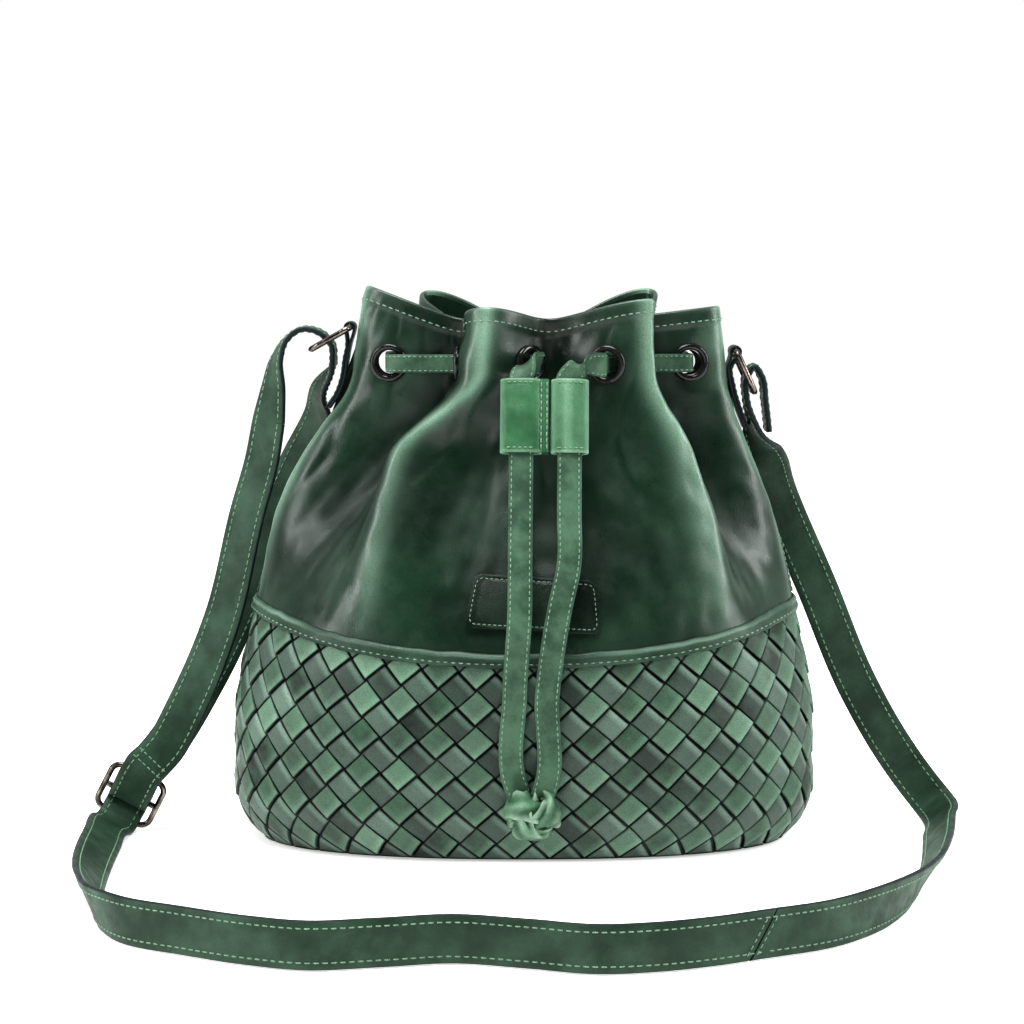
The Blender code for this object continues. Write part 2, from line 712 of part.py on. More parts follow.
def make_stopper(leather):
    """A sleeve with one channel for each tail."""
    down = SLIDE_DIRECTION
    across = Vector((1, 0, 0))
    out = across.cross(down).normalized()
    turn = Matrix((across, out, down)).transposed().to_4x4()
    channel = STRING_THICKNESS + 2 * CHANNEL_GAP
    depth = channel + 2 * STOPPER_WALL
    place = Matrix.Translation(STOPPER_CENTRE) @ turn
    body = block("cord_stopper", leather, (STOPPER_WIDTH, depth, STOPPER_HEIGHT), place)
    cutters = []
    for width, middle in zip(CHANNEL_WIDTHS, CHANNEL_CENTRES):
        shifted = Matrix.Translation(STOPPER_CENTRE + across * middle) @ turn
        cutters.append(block("slot", leather, (width, channel, 2 * STOPPER_HEIGHT), shifted))
    cut(body, join_as("stopper_cutter", cutters))


def make_ring(name, metal, axis, points):
    """A D-ring: a straight bar on the tab's axis and a bow at its reach, with rounded corners."""
    half = STRAP_WIDTH / 2 + RING_GAP + WIRE / 2
    out = points.normalized()
    side = Vector((0, 1, 0))
    corners = []
    for along, reach, start in ((1, 0, 3), (1, RING_REACH, 0), (-1, RING_REACH, 1), (-1, 0, 2)):
        bend = RING_CORNER if reach else WIRE
        middle = axis + side * along * (half - bend) + out * (bend if not reach else reach - bend)
        for step in range(4):
            turn = math.pi / 2 * (start + step / 3)
            corners.append(middle + side * bend * math.cos(turn) + out * bend * math.sin(turn))
    wire_loop(name, metal, corners, axis)


def make_tab(name, leather, axis, side, foot):
    """A folded strip: up the bag's side, round the ring's bar and down again on the outside."""
    loop = WIRE / 2 + TAB_LAYER_GAP + TAB_THICKNESS / 2
    step = TAB_THICKNESS + TAB_LAYER_GAP
    levels = np.linspace(foot, axis.z - TAB_BELOW_BAR * loop, 5)
    inner = [(side_x(z, side) + side * (LAYER_GAP + TAB_THICKNESS), 0, z) for z in levels]
    outer = [(x + side * step, y, z) for x, y, z in inner[::-1]]
    turns = np.radians(np.linspace(*TAB_WRAP, 8))
    bend = [(axis.x - side * loop * math.cos(a + math.pi), 0, axis.z + loop * math.sin(a)) for a in turns]
    path = inner + bend + outer
    route = [(*p, 0, 1, 0) for p in path]
    ribbon(name, leather, route, TAB_WIDTH, TAB_THICKNESS, 0)


def strap_route(points):
    return [tuple(value * MM for value in p[:3]) + p[3:] for p in points]


# The strap's route in millimetres, with the direction of its width: from the ring on the right to
# the splice in front, from the splice round the left to the ring, and the doubled outer run.
RIGHT_RUN = (
    (122.8, 0, 205, 0, -1, 0),
    (121.0, 0, 220, 0, -1, 0),
    (118.8, 0, 233, 0, -1, 0),
    (115.4, 0, 237.6, 0, -1, 0),
    (111.8, 0, 233, 0, -1, 0),
    (111.8, 0, 220, 0, -1, 0),
    (115.4, 1, 208, 0.12, -1, 0.05),
    (122.5, 13, 194, 0.6, -0.65, 0.3),
    (130, 34, 173, 0.89, -0.15, 0.45),
    (152.5, 36, 121, 0.9, 0, 0.44),
    (174, 37, 70, 0.88, 0, 0.47),
    (193.5, 38, 36, 0.84, -0.05, 0.54),
    (205.5, 37, 19, 0.81, -0.12, 0.57),
    (213, 32, 9.6, 0.8, -0.14, 0.58),
    (214.5, 12, 7.4, 0.78, -0.05, 0.62),
    (209, -20, 7.7, 0.75, 0, 0.66),
    (198.5, -80, 8.2, 0.68, 0, 0.73),
    (187, -130, 9.1, 0.58, 0, 0.82),
    (170, -180, 10.4, 0.33, 0, 0.94),
    (151, -213, 11, 0.1, 0, 1),
    (130, -236, 11, 0, 0, 1),
    (99, -254.5, 11, 0, 0, 1),
)
LEFT_RUN = (
    (98.2, -254.9, 11, 0, 0, 1),
    (78, -266, 11, 0, 0, 1),
    (55, -275, 11, 0, 0, 1),
    (29, -279, 11, 0, 0, 1),
    (0, -270, 11, 0, 0, 1),
    (-31, -262, 11, 0, 0, 1),
    (-60, -268, 11, 0, 0, 1),
    (-91, -273, 11, 0, 0, 1),
    (-117, -264, 11, 0, 0, 1),
    (-145, -248, 11, 0, 0, 1),
    (-170, -232, 11, -0.05, 0, 1),
    (-187, -207, 10.8, -0.3, 0, 0.95),
    (-196, -172, 9.9, -0.5, 0, 0.87),
    (-202, -130, 8.4, -0.68, 0, 0.73),
    (-206, -85, 7.2, -0.78, 0, 0.62),
    (-208, -45, 7.2, -0.82, 0, 0.57),
    (-209, -22, 8.0, -0.85, 0, 0.52),
)
# Through the adjuster: distance up its plane and distance out of its front
ADJUSTER_WEAVE = (
    (-12.3, 3.8),
    (-8.4, 1.0),
    (-5.4, -3.6),
    (0, -6.8),
    (5.4, -4.2),
    (8.7, 0.4),
    (12.3, 4.0),
    (17, 3.2),
)
INNER_RUN = (
    (-188, 2.5, 38, -0.88, 0, 0.47),
    (-163, 14, 77, -0.9, 0, 0.44),
    (-147, 29, 111, -0.9, 0.02, 0.42),
    (-134, 41, 146, -0.92, 0.05, 0.38),
    (-117, 45, 185, -0.9, 0.25, 0.33),
    (-105.5, 33, 209, -0.68, 0.68, 0.25),
    (-102.5, 16, 224, -0.3, 0.95, 0.1),
    (-96, 3, 239, 0, 1, 0),
    (-97, 0, 249.5, 0, 1, 0),
    (-103.5, 0, 255, 0, 1, 0),
    (-111.5, 0, 256, 0, 1, 0),
    (-119, 0, 251, -0.1, 1, 0),
    (-124, 0, 241, -0.3, 0.95, 0),
    (-126, 0, 226, -0.6, 0.8, 0),
    (-128.4, 0, 210, -0.8, 0.6, 0),
)
OUTER_RUN = (
    (-128.5, 0, 209.4, -0.8, 0.6, 0),
    (-132, 0, 190, -0.84, 0.54, 0.05),
    (-139, -1, 165, -0.86, 0.5, 0.1),
    (-152.5, -2, 110, -0.86, 0.42, 0.25),
    (-171, -5, 65, -0.87, 0.22, 0.4),
    (-181, -6.5, 46, -0.88, 0.1, 0.45),
)
SEWN_END = (
    (14, 8.8),
    (5.8, 5.8),
    (0, 3.3),
    (-2.7, 1.8),
    (-3.2, -0.3),
    (-2.0, -2.5),
    (0.4, -3.1),
)


def at_adjuster(points):
    """Route points given by their distances up and out of the slide adjuster's plane."""
    out = ADJUSTER_UP.cross(ADJUSTER_ACROSS)
    return [
        (*(ADJUSTER_CENTRE + (ADJUSTER_UP * up + out * away) * MM), *ADJUSTER_ACROSS)
        for up, away in points
    ]


def make_strap(strap):
    ribbon("strap_right", strap, strap_route(RIGHT_RUN), STRAP_WIDTH, STRAP_THICKNESS, 66)
    left = strap_route(LEFT_RUN) + at_adjuster(ADJUSTER_WEAVE) + strap_route(INNER_RUN)
    ribbon("strap_left", strap, left, STRAP_WIDTH, STRAP_THICKNESS, 120)
    outer = strap_route(OUTER_RUN) + at_adjuster(SEWN_END)
    ribbon("strap_sewn_run", strap, outer, STRAP_WIDTH, STRAP_THICKNESS, 60)


def make_adjuster(metal):
    """The slide adjuster: a frame of round wire and a fixed bar across its middle."""
    half = STRAP_WIDTH / 2 + ADJUSTER_SIDE_GAP + WIRE / 2
    corners = []
    for across, up, start in ((1, 1, 0), (-1, 1, 1), (-1, -1, 2), (1, -1, 3)):
        middle = (
            ADJUSTER_CENTRE
            + ADJUSTER_ACROSS * across * (half - RING_CORNER)
            + ADJUSTER_UP * up * (ADJUSTER_HALF_HEIGHT - RING_CORNER)
        )
        for step in range(4):
            turn = math.pi / 2 * (start + step / 3)
            swing = ADJUSTER_ACROSS * math.cos(turn) + ADJUSTER_UP * math.sin(turn)
            corners.append(middle + swing * RING_CORNER)
    wire_loop("adjuster_frame", metal, corners, ADJUSTER_CENTRE)
    reach = half - WIRE / 2 - FLOOR_GAP
    ends = [ADJUSTER_CENTRE + ADJUSTER_ACROSS * side * reach for side in (-1, 1)]
    work = bmesh.new()
    bmesh.ops.create_cone(
        work, cap_ends=True, segments=8, radius1=WIRE / 2, radius2=WIRE / 2, depth=2 * reach
    )
    turn = (ends[1] - ends[0]).to_track_quat("Z", "Y").to_matrix().to_4x4()
    bmesh.ops.transform(work, matrix=Matrix.Translation(ADJUSTER_CENTRE) @ turn, verts=work.verts)
    points = [tuple(vert.co) for vert in work.verts]
    faces = [[vert.index for vert in face.verts] for face in work.faces]
    work.free()
    add_object("adjuster_bar", points, faces, metal, ADJUSTER_CENTRE)


def main():
    for old in list(bpy.data.objects):
        bpy.data.objects.remove(old)
    leather = material("leather_green", (0.03, 0.10, 0.06), 0.42)
    weave = material("leather_woven", (0.04, 0.13, 0.07), 0.45)
    strap = material("leather_strap", (0.07, 0.16, 0.11), 0.55)
    lace = material("leather_lace", (0.08, 0.22, 0.12), 0.5)
    stopper = material("leather_stopper", (0.08, 0.25, 0.13), 0.45)
    lining = material("lining_cloth", (0.12, 0.11, 0.09), 0.9)
    board = material("base_stiffener", (0.2, 0.17, 0.13), 0.8)
    black = material("eyelet_black", (0.02, 0.02, 0.02), 0.25, 1.0)
    nickel = material("dark_nickel", (0.25, 0.23, 0.22), 0.25, 1.0)
    make_panels(leather, weave, lining)
    make_base(leather, board)
    make_side_welts(leather)
    make_patch(leather)
    make_eyelets(black)
    make_drawstring(lace)
    tails_axis = (STOPPER_CENTRE.x, TAILS_AXIS_Y, EYELET_Z)
    make_tails(lace, tails_axis)
    make_knot(lace, tails_axis)
    make_stopper(stopper)
    make_ring("ring_left", nickel, RING_LEFT_AXIS, RING_LEFT_POINTS)
    make_ring("ring_right", nickel, RING_RIGHT_AXIS, RING_RIGHT_POINTS)
    make_tab("tab_left", strap, RING_LEFT_AXIS, -1, TAB_LEFT_FOOT)
    make_tab("tab_right", strap, RING_RIGHT_AXIS, 1, TAB_RIGHT_FOOT)
    make_strap(strap)
    make_adjuster(nickel)


main()
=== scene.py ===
"""A green leather bucket bag: woven below, smooth and gathered above, with a slide-adjusted shoulder strap.

Units are metres, +Z is up and the front faces -Y. Every surface is a function of two numbers worked out
as whole arrays: the bag's wall is a function of the angle round it and of the height, and every strap,
cord and ring is a profile carried along a path.
"""

import logging  # noqa: E402
import math  # noqa: E402
from dataclasses import dataclass, field  # noqa: E402
from enum import Enum  # noqa: E402

import bmesh  # noqa: E402
import bpy  # noqa: E402
import numpy as np  # noqa: E402
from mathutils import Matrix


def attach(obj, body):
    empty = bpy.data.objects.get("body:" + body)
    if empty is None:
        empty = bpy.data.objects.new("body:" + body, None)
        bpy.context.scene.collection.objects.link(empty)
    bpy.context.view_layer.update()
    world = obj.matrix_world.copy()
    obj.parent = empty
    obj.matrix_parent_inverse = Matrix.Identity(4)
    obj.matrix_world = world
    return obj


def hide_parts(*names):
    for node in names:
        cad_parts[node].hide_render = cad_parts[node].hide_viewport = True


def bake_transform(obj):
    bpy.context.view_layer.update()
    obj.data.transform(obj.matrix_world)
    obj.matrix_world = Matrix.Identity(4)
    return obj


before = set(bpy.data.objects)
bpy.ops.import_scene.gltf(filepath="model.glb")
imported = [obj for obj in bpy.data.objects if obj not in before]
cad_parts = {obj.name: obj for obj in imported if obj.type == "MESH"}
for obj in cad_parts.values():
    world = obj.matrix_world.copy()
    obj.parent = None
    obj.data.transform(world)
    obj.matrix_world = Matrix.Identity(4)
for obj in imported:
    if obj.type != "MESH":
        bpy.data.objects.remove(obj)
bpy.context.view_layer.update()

LOG = logging.getLogger("bag")
MM = 0.001
TURN = 2 * math.pi
Array = np.ndarray
Point = tuple[float, float, float]


class Body(Enum):
    """The moving bodies of the frame that a piece can ride on."""

    BAG = "bag"
    RING_LEFT = "ring_left"
    RING_RIGHT = "ring_right"
    TAILS = "tails"
    STOPPER = "stopper"
    ADJUSTER = "adjuster"

    def carry(self, piece: bpy.types.Object) -> None:
        """Makes the piece move with this body."""
        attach(piece, self.value)


@dataclass(frozen=True)
class Fold:
    """The two bodies at a joint that a piece bends across, and where it turns between them."""

    first: Body
    second: Body
    start: Point
    end: Point

    def carry(self, piece: bpy.types.Object) -> None:
        """Bakes the piece's place into its mesh; it is not tied to either body."""
        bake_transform(piece)


class Slot(Enum):
    """The record's material slots."""

    SMOOTH = "smooth_leather"
    WOVEN = "woven_leather"
    STRAP = "strap_leather"
    LACE = "lace_leather"
    STOPPER = "stopper_leather"
    LINING = "lining_cloth"
    BOARD = "base_stiffener"
    EYELET = "eyelet_black"
    NICKEL = "dark_nickel"


# Curves and grids


def smooth_through(knots: Array, values: Array, at: Array) -> Array:
    """Cubic Hermite curve through the values; each knot's slope is the mean of its neighbours'.

    Args:
        knots: Rising places of the values.
        values: Value at each knot.
        at: Places to read the curve at.

    Returns:
        The curve's value at each place.
    """
    knots, values, at = (np.asarray(a, float) for a in (knots, values, at))
    slopes = np.gradient(values, knots)
    i = np.clip(np.searchsorted(knots, at, side="right") - 1, 0, len(knots) - 2)
    step = knots[i + 1] - knots[i]
    t = (at - knots[i]) / step
    return (
        values[i] * (1 + 2 * t) * (1 - t) ** 2
        + values[i + 1] * t * t * (3 - 2 * t)
        + step * (slopes[i] * t * (1 - t) ** 2 + slopes[i + 1] * t * t * (t - 1))
    )


def ease(share: Array) -> Array:
    """Smooth step from 0 to 1."""
    share = np.clip(share, 0, 1)
    return share * share * (3 - 2 * share)


def unit(vectors: Array) -> Array:
    """The vectors scaled to length 1 along the last axis."""
    return vectors / np.maximum(np.linalg.norm(vectors, axis=-1, keepdims=True), 1e-12)


def ripple(u: Array, v: Array, scale: tuple[float, float], waves: int, seed: int) -> Array:
    """Smooth unevenness: the mean of many sine waves of random direction, wavelength and phase.

    Args:
        u: First coordinate.
        v: Second coordinate, of the same shape.
        scale: Typical wavelength along each coordinate.
        waves: How many waves are summed.
        seed: Fixes the random choices.

    Returns:
        Values of about -1 to 1, in the shape of u and v.
    """
    chance = np.random.default_rng(seed)
    total = np.zeros(np.broadcast(u, v).shape)
    for _ in range(waves):
        bearing, stretch, start = chance.uniform(0, TURN), chance.uniform(0.6, 1.7), chance.uniform(0, TURN)
        total += np.sin(
            TURN * stretch * (u / scale[0] * math.cos(bearing) + v / scale[1] * math.sin(bearing)) + start
        )
    return total * math.sqrt(2 / waves) / 1.6


def grid_faces(rows: int, columns: int, closed_rows: bool, closed_columns: bool) -> Array:
    """Quads of a grid of points numbered row by row, as an array of four indices each."""
    i = np.arange(rows if closed_rows else rows - 1)[:, None]
    j = np.arange(columns if closed_columns else columns - 1)[None, :]
    k, m = (i + 1) % rows, (j + 1) % columns
    corners = np.broadcast_arrays(i * columns + j, i * columns + m, k * columns + m, k * columns + j)
    quads = np.stack(corners, -1)
    return quads.reshape(-1, 4)


@dataclass
class Surface:
    """A mesh being put together: points, faces and a few named values at each point."""

    points: Array
    faces: list[list[int]]
    values: dict[str, Array] = field(default_factory=dict)

    @classmethod
    def loft(
        cls,
        grid: Array,
        closed_rows: bool = False,
        closed_columns: bool = True,
        capped: bool = True,
        **values: Array,
    ) -> "Surface":
        """A surface through a grid of points; open ends of the rows are closed by a fan to their middle.

        Args:
            grid: Points of shape (rows, columns, 3).
            closed_rows: Join the last row to the first.
            closed_columns: Join the last column to the first.
            capped: Close the first and last rows, where the columns are closed and the rows aren't.
            **values: A number for each point of the grid, of shape (rows, columns).

        Returns:
            The surface.
        """
        rows, columns = grid.shape[:2]
        faces = grid_faces(rows, columns, closed_rows, closed_columns).tolist()
        points = grid.reshape(-1, 3)
        flat = {key: np.broadcast_to(value, (rows, columns)).reshape(-1) for key, value in values.items()}
        if capped and closed_columns and not closed_rows:
            ends = np.stack([grid[0].mean(axis=0), grid[-1].mean(axis=0)])
            first, last = rows * columns, rows * columns + 1
            j = np.arange(columns)
            m = (j + 1) % columns
            start = (rows - 1) * columns
            faces += np.stack([m, j, np.full(columns, first)], -1).tolist()
            faces += np.stack([start + j, start + m, np.full(columns, last)], -1).tolist()
            points = np.concatenate([points, ends])
            flat = {
                key: np.concatenate([value, [value[:columns].mean(), value[-columns:].mean()]])
                for key, value in flat.items()
            }
        return cls(points, faces, flat)

    @classmethod
    def joined(cls, surfaces: list["Surface"]) -> "Surface":
        """Several surfaces as one mesh of separate bodies."""
        faces: list[list[int]] = []
        count = 0
        for one in surfaces:
            faces += [[index + count for index in face] for face in one.faces]
            count += len(one.points)
        values = {key: np.concatenate([one.values[key] for one in surfaces]) for key in surfaces[0].values}
        return cls(np.concatenate([one.points for one in surfaces]), faces, values)

    def add(self, name: str, finish: "Finish", rides: Body | Fold, *nodes: str, sharp: float = 50
            ) -> bpy.types.Object:
        """Makes the object, dresses it, hands it to what it rides on, and hides the frame nodes that it
        replaces.

        Args:
            name: Object name.
            finish: Its material.
            rides: The body that it moves with, or a fold, which only bakes it where it stands.
            *nodes: Frame nodes that it replaces.
            sharp: Edges over this many degrees stay sharp.

        Returns:
            The object, at the origin, with its place in its mesh.
        """
        mesh = bpy.data.meshes.new(name)
        mesh.from_pydata(self.points.tolist(), [], self.faces)
        for key, value in self.values.items():
            mesh.attributes.new(key, "FLOAT", "POINT").data.foreach_set("value", value.astype(np.float32))
        work = bmesh.new()
        work.from_mesh(mesh)
        bmesh.ops.recalc_face_normals(work, faces=work.faces)
        work.to_mesh(mesh)
        work.free()
        mesh.shade_smooth()
        mesh.set_sharp_from_angle(angle=math.radians(sharp))
        mesh.materials.append(finish.material())
        made = bpy.data.objects.new(name, mesh)
        bpy.context.collection.objects.link(made)
        rides.carry(made)
        if nodes:
            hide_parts(*nodes)
        LOG.info("%s: %d faces", name, len(self.faces))
        return made


def rounded_profile(width: float, thickness: float, corner: float, crown: float, across: int = 9) -> Array:
    """Outline of a flat strip's section: straight faces that swell by a crown, and round edges.

    Args:
        width: Whole width.
        thickness: Thickness at the edges' rounding.
        corner: How far the rounding reaches in from each edge.
        crown: How much further out each face's middle is.
        across: Points on each face.

    Returns:
        Points of (sideways, outward) going once round.
    """
    half, depth = width / 2, thickness / 2
    turn = np.radians(np.linspace(-75, 75, 6))
    edge = np.stack([half - corner + corner * np.cos(turn), depth * np.sin(turn) / math.sin(turn[-1])], -1)
    line = np.linspace(1, -1, across)
    face = np.stack([(half - corner) * line, depth + crown * (1 - line**2)], -1)
    return np.concatenate([edge, face[1:-1], edge[::-1] * (-1, 1), (face * (1, -1))[::-1][1:-1]])


@dataclass
class Route:
    """A path in space; each row is a place and the direction of a flat cord's width there."""

    rows: Array

    @classmethod
    def in_mm(cls, rows: list[tuple[float, ...]]) -> "Route":
        """A route whose places are given in millimetres."""
        table = np.asarray(rows, float)
        return cls(np.concatenate([table[:, :3] * MM, table[:, 3:]], 1))

    def sampled(self, count: int) -> "Route":
        """The same path with evenly spaced points, on the smooth curve through its own."""
        rows = self.rows
        knots = np.concatenate([[0], np.cumsum(np.linalg.norm(np.diff(rows[:, :3], axis=0), axis=1))])
        fine = np.linspace(0, knots[-1], 40 * len(rows))
        curve = np.stack([smooth_through(knots, column, fine) for column in rows.T], -1)
        along = np.concatenate([[0], np.cumsum(np.linalg.norm(np.diff(curve[:, :3], axis=0), axis=1))])
        even = np.linspace(0, along[-1], count)
        return Route(np.stack([np.interp(even, along, column) for column in curve.T], -1))

    @property
    def centre(self) -> Array:
        """The places."""
        return self.rows[:, :3]

    def along(self) -> Array:
        """Distance of each place from the start."""
        return np.concatenate([[0], np.cumsum(np.linalg.norm(np.diff(self.centre, axis=0), axis=1))])

    def frames(self) -> tuple[Array, Array, Array]:
        """At each place: the direction ahead, the width's direction, and the face's outward one."""
        ahead = unit(np.gradient(self.centre, axis=0))
        face = unit(np.cross(ahead, self.rows[:, 3:]))
        return ahead, np.cross(face, ahead), face

    def swept(self, profile: Array, swell: Array | float = 1.0) -> Array:
        """Grid of a profile carried along the path; swell scales its thickness at each place."""
        _, across, face = self.frames()
        out = profile[None, :, 1] * np.broadcast_to(np.asarray(swell), (len(self.rows),))[:, None]
        return (
            self.centre[:, None]
            + across[:, None] * profile[None, :, :1]
            + face[:, None] * out[..., None]
        )

    def strip(self, width: float, thickness: float, corner: float, crown: float,
              slant: tuple[float, float] = (0.0, 0.0)) -> Surface:
        """A flat strap along the path, with values for how near its edge and how far along a point is.

        Its first and last ends lean along the path by the slant at each edge, over about 12 mm.
        """
        profile = rounded_profile(width, thickness, corner, crown)
        way = self.along()
        from_start, from_end = way / (12 * MM), (way[-1] - way) / (12 * MM)
        lean = slant[0] * np.exp(-(from_start**2)) + slant[1] * np.exp(-(from_end**2))
        shift = lean[:, None] * profile[None, :, 0] * 2 / width
        grid = self.swept(profile) + self.frames()[0][:, None] * shift[..., None]
        edge = np.broadcast_to(np.abs(profile[:, 0]) * 2 / width, grid.shape[:2])
        along = np.broadcast_to(self.along()[:, None], grid.shape[:2])
        return Surface.loft(grid, edge=edge, along=along)


@dataclass(frozen=True)
class Thread:
    """A sewing thread, laid as short low stitches."""

    length: float = 2.3 * MM
    pitch: float = 3.1 * MM
    radius: float = 0.36 * MM
    sides: int = 6

    def stitches(self, centre: Array, ahead: Array, out: Array) -> Surface:
        """One short capsule at each place, with its ends sunk into the leather.

        Args:
            centre: Middles, of shape (stitches, 3).
            ahead: Direction along the seam.
            out: Direction out of the leather.

        Returns:
            All the stitches as one surface.
        """
        side = np.cross(ahead, out)
        place = np.array([-0.5, -0.36, 0.0, 0.36, 0.5]) * self.length
        girth = np.array([0.35, 0.9, 1.0, 0.9, 0.35]) * self.radius
        lift = np.array([-0.7, 0.0, 0.25, 0.0, -0.7]) * self.radius
        turn = np.arange(self.sides) * TURN / self.sides
        ring = side[:, None, None] * (girth[:, None] * np.cos(turn))[None, ..., None]
        ring = ring + out[:, None, None] * (girth[:, None] * np.sin(turn) + lift[:, None])[None, ..., None]
        grid = centre[:, None, None] + ahead[:, None, None] * place[None, :, None, None] + ring
        count, rings = len(centre), len(place)
        base = grid_faces(rings, self.sides, False, True)
        caps = np.array([np.arange(self.sides)[::-1], (rings - 1) * self.sides + np.arange(self.sides)])
        start = (np.arange(count) * rings * self.sides)[:, None, None]
        faces = (start + base[None]).reshape(-1, 4).tolist()
        faces += (start + caps[None]).reshape(-1, self.sides).tolist()
        return Surface(grid.reshape(-1, 3), faces)

    def seam(self, line: Array, out: Array) -> Surface:
        """Stitches at an even pitch along a line of close points, each with its outward direction."""
        along = np.concatenate([[0], np.cumsum(np.linalg.norm(np.diff(line, axis=0), axis=1))])
        middles = np.arange(self.pitch / 2, along[-1], self.pitch)
        read = [np.stack([np.interp(middles, along, column) for column in table.T], -1)
                for table in (line, unit(np.gradient(line, axis=0)), out)]
        return self.stitches(read[0], unit(read[1]), unit(read[2]))

    def edge_rows(self, route: Route, width: float, thickness: float, inset: float,
                  sides: tuple[int, ...] = (-1, 1), faces: tuple[int, ...] = (-1, 1)) -> Surface:
        """Rows of stitches inside both edges of a strap, on the chosen faces."""
        _, across, face = route.frames()
        rows = [
            self.seam(
                route.centre + across * side * (width / 2 - inset) + face * layer * thickness / 2,
                face * layer,
            )
            for side in sides
            for layer in faces
        ]
        return Surface.joined(rows)


# Finishes


class Shader:
    """A material's node tree with short calls for the nodes that the finishes share."""

    def __init__(self, name: str) -> None:
        """Starts a material with an empty Principled shader."""
        self.material = bpy.data.materials.new(name)
        self.material.use_nodes = True
        self.nodes = self.material.node_tree.nodes
        self.links = self.material.node_tree.links
        self.surface = self.nodes["Principled BSDF"]
        self.place = self.nodes.new("ShaderNodeTexCoord").outputs["Object"]

    def set(self, **values: float) -> None:
        """Sets numbers on the shader's own sockets; an underscore in a name stands for a space."""
        for key, value in values.items():
            self.surface.inputs[key.replace("_", " ")].default_value = value

    def join(self, output: bpy.types.NodeSocket, socket: bpy.types.NodeSocket) -> None:
        """Links an output to a socket."""
        self.links.new(output, socket)

    def noise(self, scale: float, detail: float = 3, rough: float = 0.5, stretch: Point = (1, 1, 1)
              ) -> bpy.types.NodeSocket:
        """Noise over the object's own space, scale in features for each metre."""
        made = self.nodes.new("ShaderNodeTexNoise")
        made.inputs["Scale"].default_value = scale
        made.inputs["Detail"].default_value = detail
        made.inputs["Roughness"].default_value = rough
        if stretch == (1, 1, 1):
            self.join(self.place, made.inputs["Vector"])
        else:
            turn = self.nodes.new("ShaderNodeMapping")
            turn.inputs["Scale"].default_value = stretch
            self.join(self.place, turn.inputs["Vector"])
            self.join(turn.outputs["Vector"], made.inputs["Vector"])
        return made.outputs["Fac"]

    def cells(self, scale: float, feature: str = "DISTANCE_TO_EDGE") -> bpy.types.NodeSocket:
        """Small irregular cells, as in the grain of leather."""
        made = self.nodes.new("ShaderNodeTexVoronoi")
        made.feature = feature
        made.inputs["Scale"].default_value = scale
        self.join(self.place, made.inputs["Vector"])
        return made.outputs["Distance"]

    def value(self, name: str) -> bpy.types.NodeSocket:
        """A number kept at the surface's points."""
        made = self.nodes.new("ShaderNodeAttribute")
        made.attribute_name = name
        return made.outputs["Fac"]

    def span(self, source: bpy.types.NodeSocket, low: float, high: float, to_low: float = 0,
             to_high: float = 1) -> bpy.types.NodeSocket:
        """Maps a range of values onto another, clamped."""
        made = self.nodes.new("ShaderNodeMapRange")
        made.interpolation_type = "SMOOTHSTEP"
        for key, number in (("From Min", low), ("From Max", high), ("To Min", to_low), ("To Max", to_high)):
            made.inputs[key].default_value = number
        self.join(source, made.inputs["Value"])
        return made.outputs["Result"]

    def math(self, kind: str, first: bpy.types.NodeSocket, second: "bpy.types.NodeSocket | float"
             ) -> bpy.types.NodeSocket:
        """Arithmetic on two values."""
        made = self.nodes.new("ShaderNodeMath")
        made.operation = kind
        self.join(first, made.inputs[0])
        if isinstance(second, (int, float)):
            made.inputs[1].default_value = second
        else:
            self.join(second, made.inputs[1])
        return made.outputs[0]

    def mix(self, share: bpy.types.NodeSocket, first: "bpy.types.NodeSocket | Point",
            second: "bpy.types.NodeSocket | Point") -> bpy.types.NodeSocket:
        """A colour between two, by a share."""
        made = self.nodes.new("ShaderNodeMix")
        made.data_type = "RGBA"
        self.join(share, made.inputs["Factor"])
        for source, socket in ((first, made.inputs[6]), (second, made.inputs[7])):
            if isinstance(source, tuple):
                socket.default_value = (*source, 1)
            else:
                self.join(source, socket)
        return made.outputs[2]

    def bump(self, height: bpy.types.NodeSocket, distance: float, strength: float = 1.0) -> None:
        """Adds relief: the height, from 0 to 1, times a distance in metres, over any relief so far."""
        made = self.nodes.new("ShaderNodeBump")
        made.inputs["Distance"].default_value = distance
        made.inputs["Strength"].default_value = strength
        self.join(height, made.inputs["Height"])
        socket = self.surface.inputs["Normal"]
        if socket.links:
            self.join(socket.links[0].from_socket, made.inputs["Normal"])
        self.join(made.outputs["Normal"], socket)


_MADE: dict[str, bpy.types.Material] = {}


@dataclass(frozen=True)
class Finish:
    """A finish: its name, its slot in the record, and the shader that gives its look."""

    name: str
    slot: Slot

    def material(self) -> bpy.types.Material:
        """The material, made once."""
        if self.name not in _MADE:
            shader = Shader(self.name)
            self.dress(shader)
            _MADE[self.name] = shader.material
        return _MADE[self.name]

    def dress(self, shader: Shader) -> None:
        """Fills in the shader; each kind of finish has its own way."""
        raise NotImplementedError


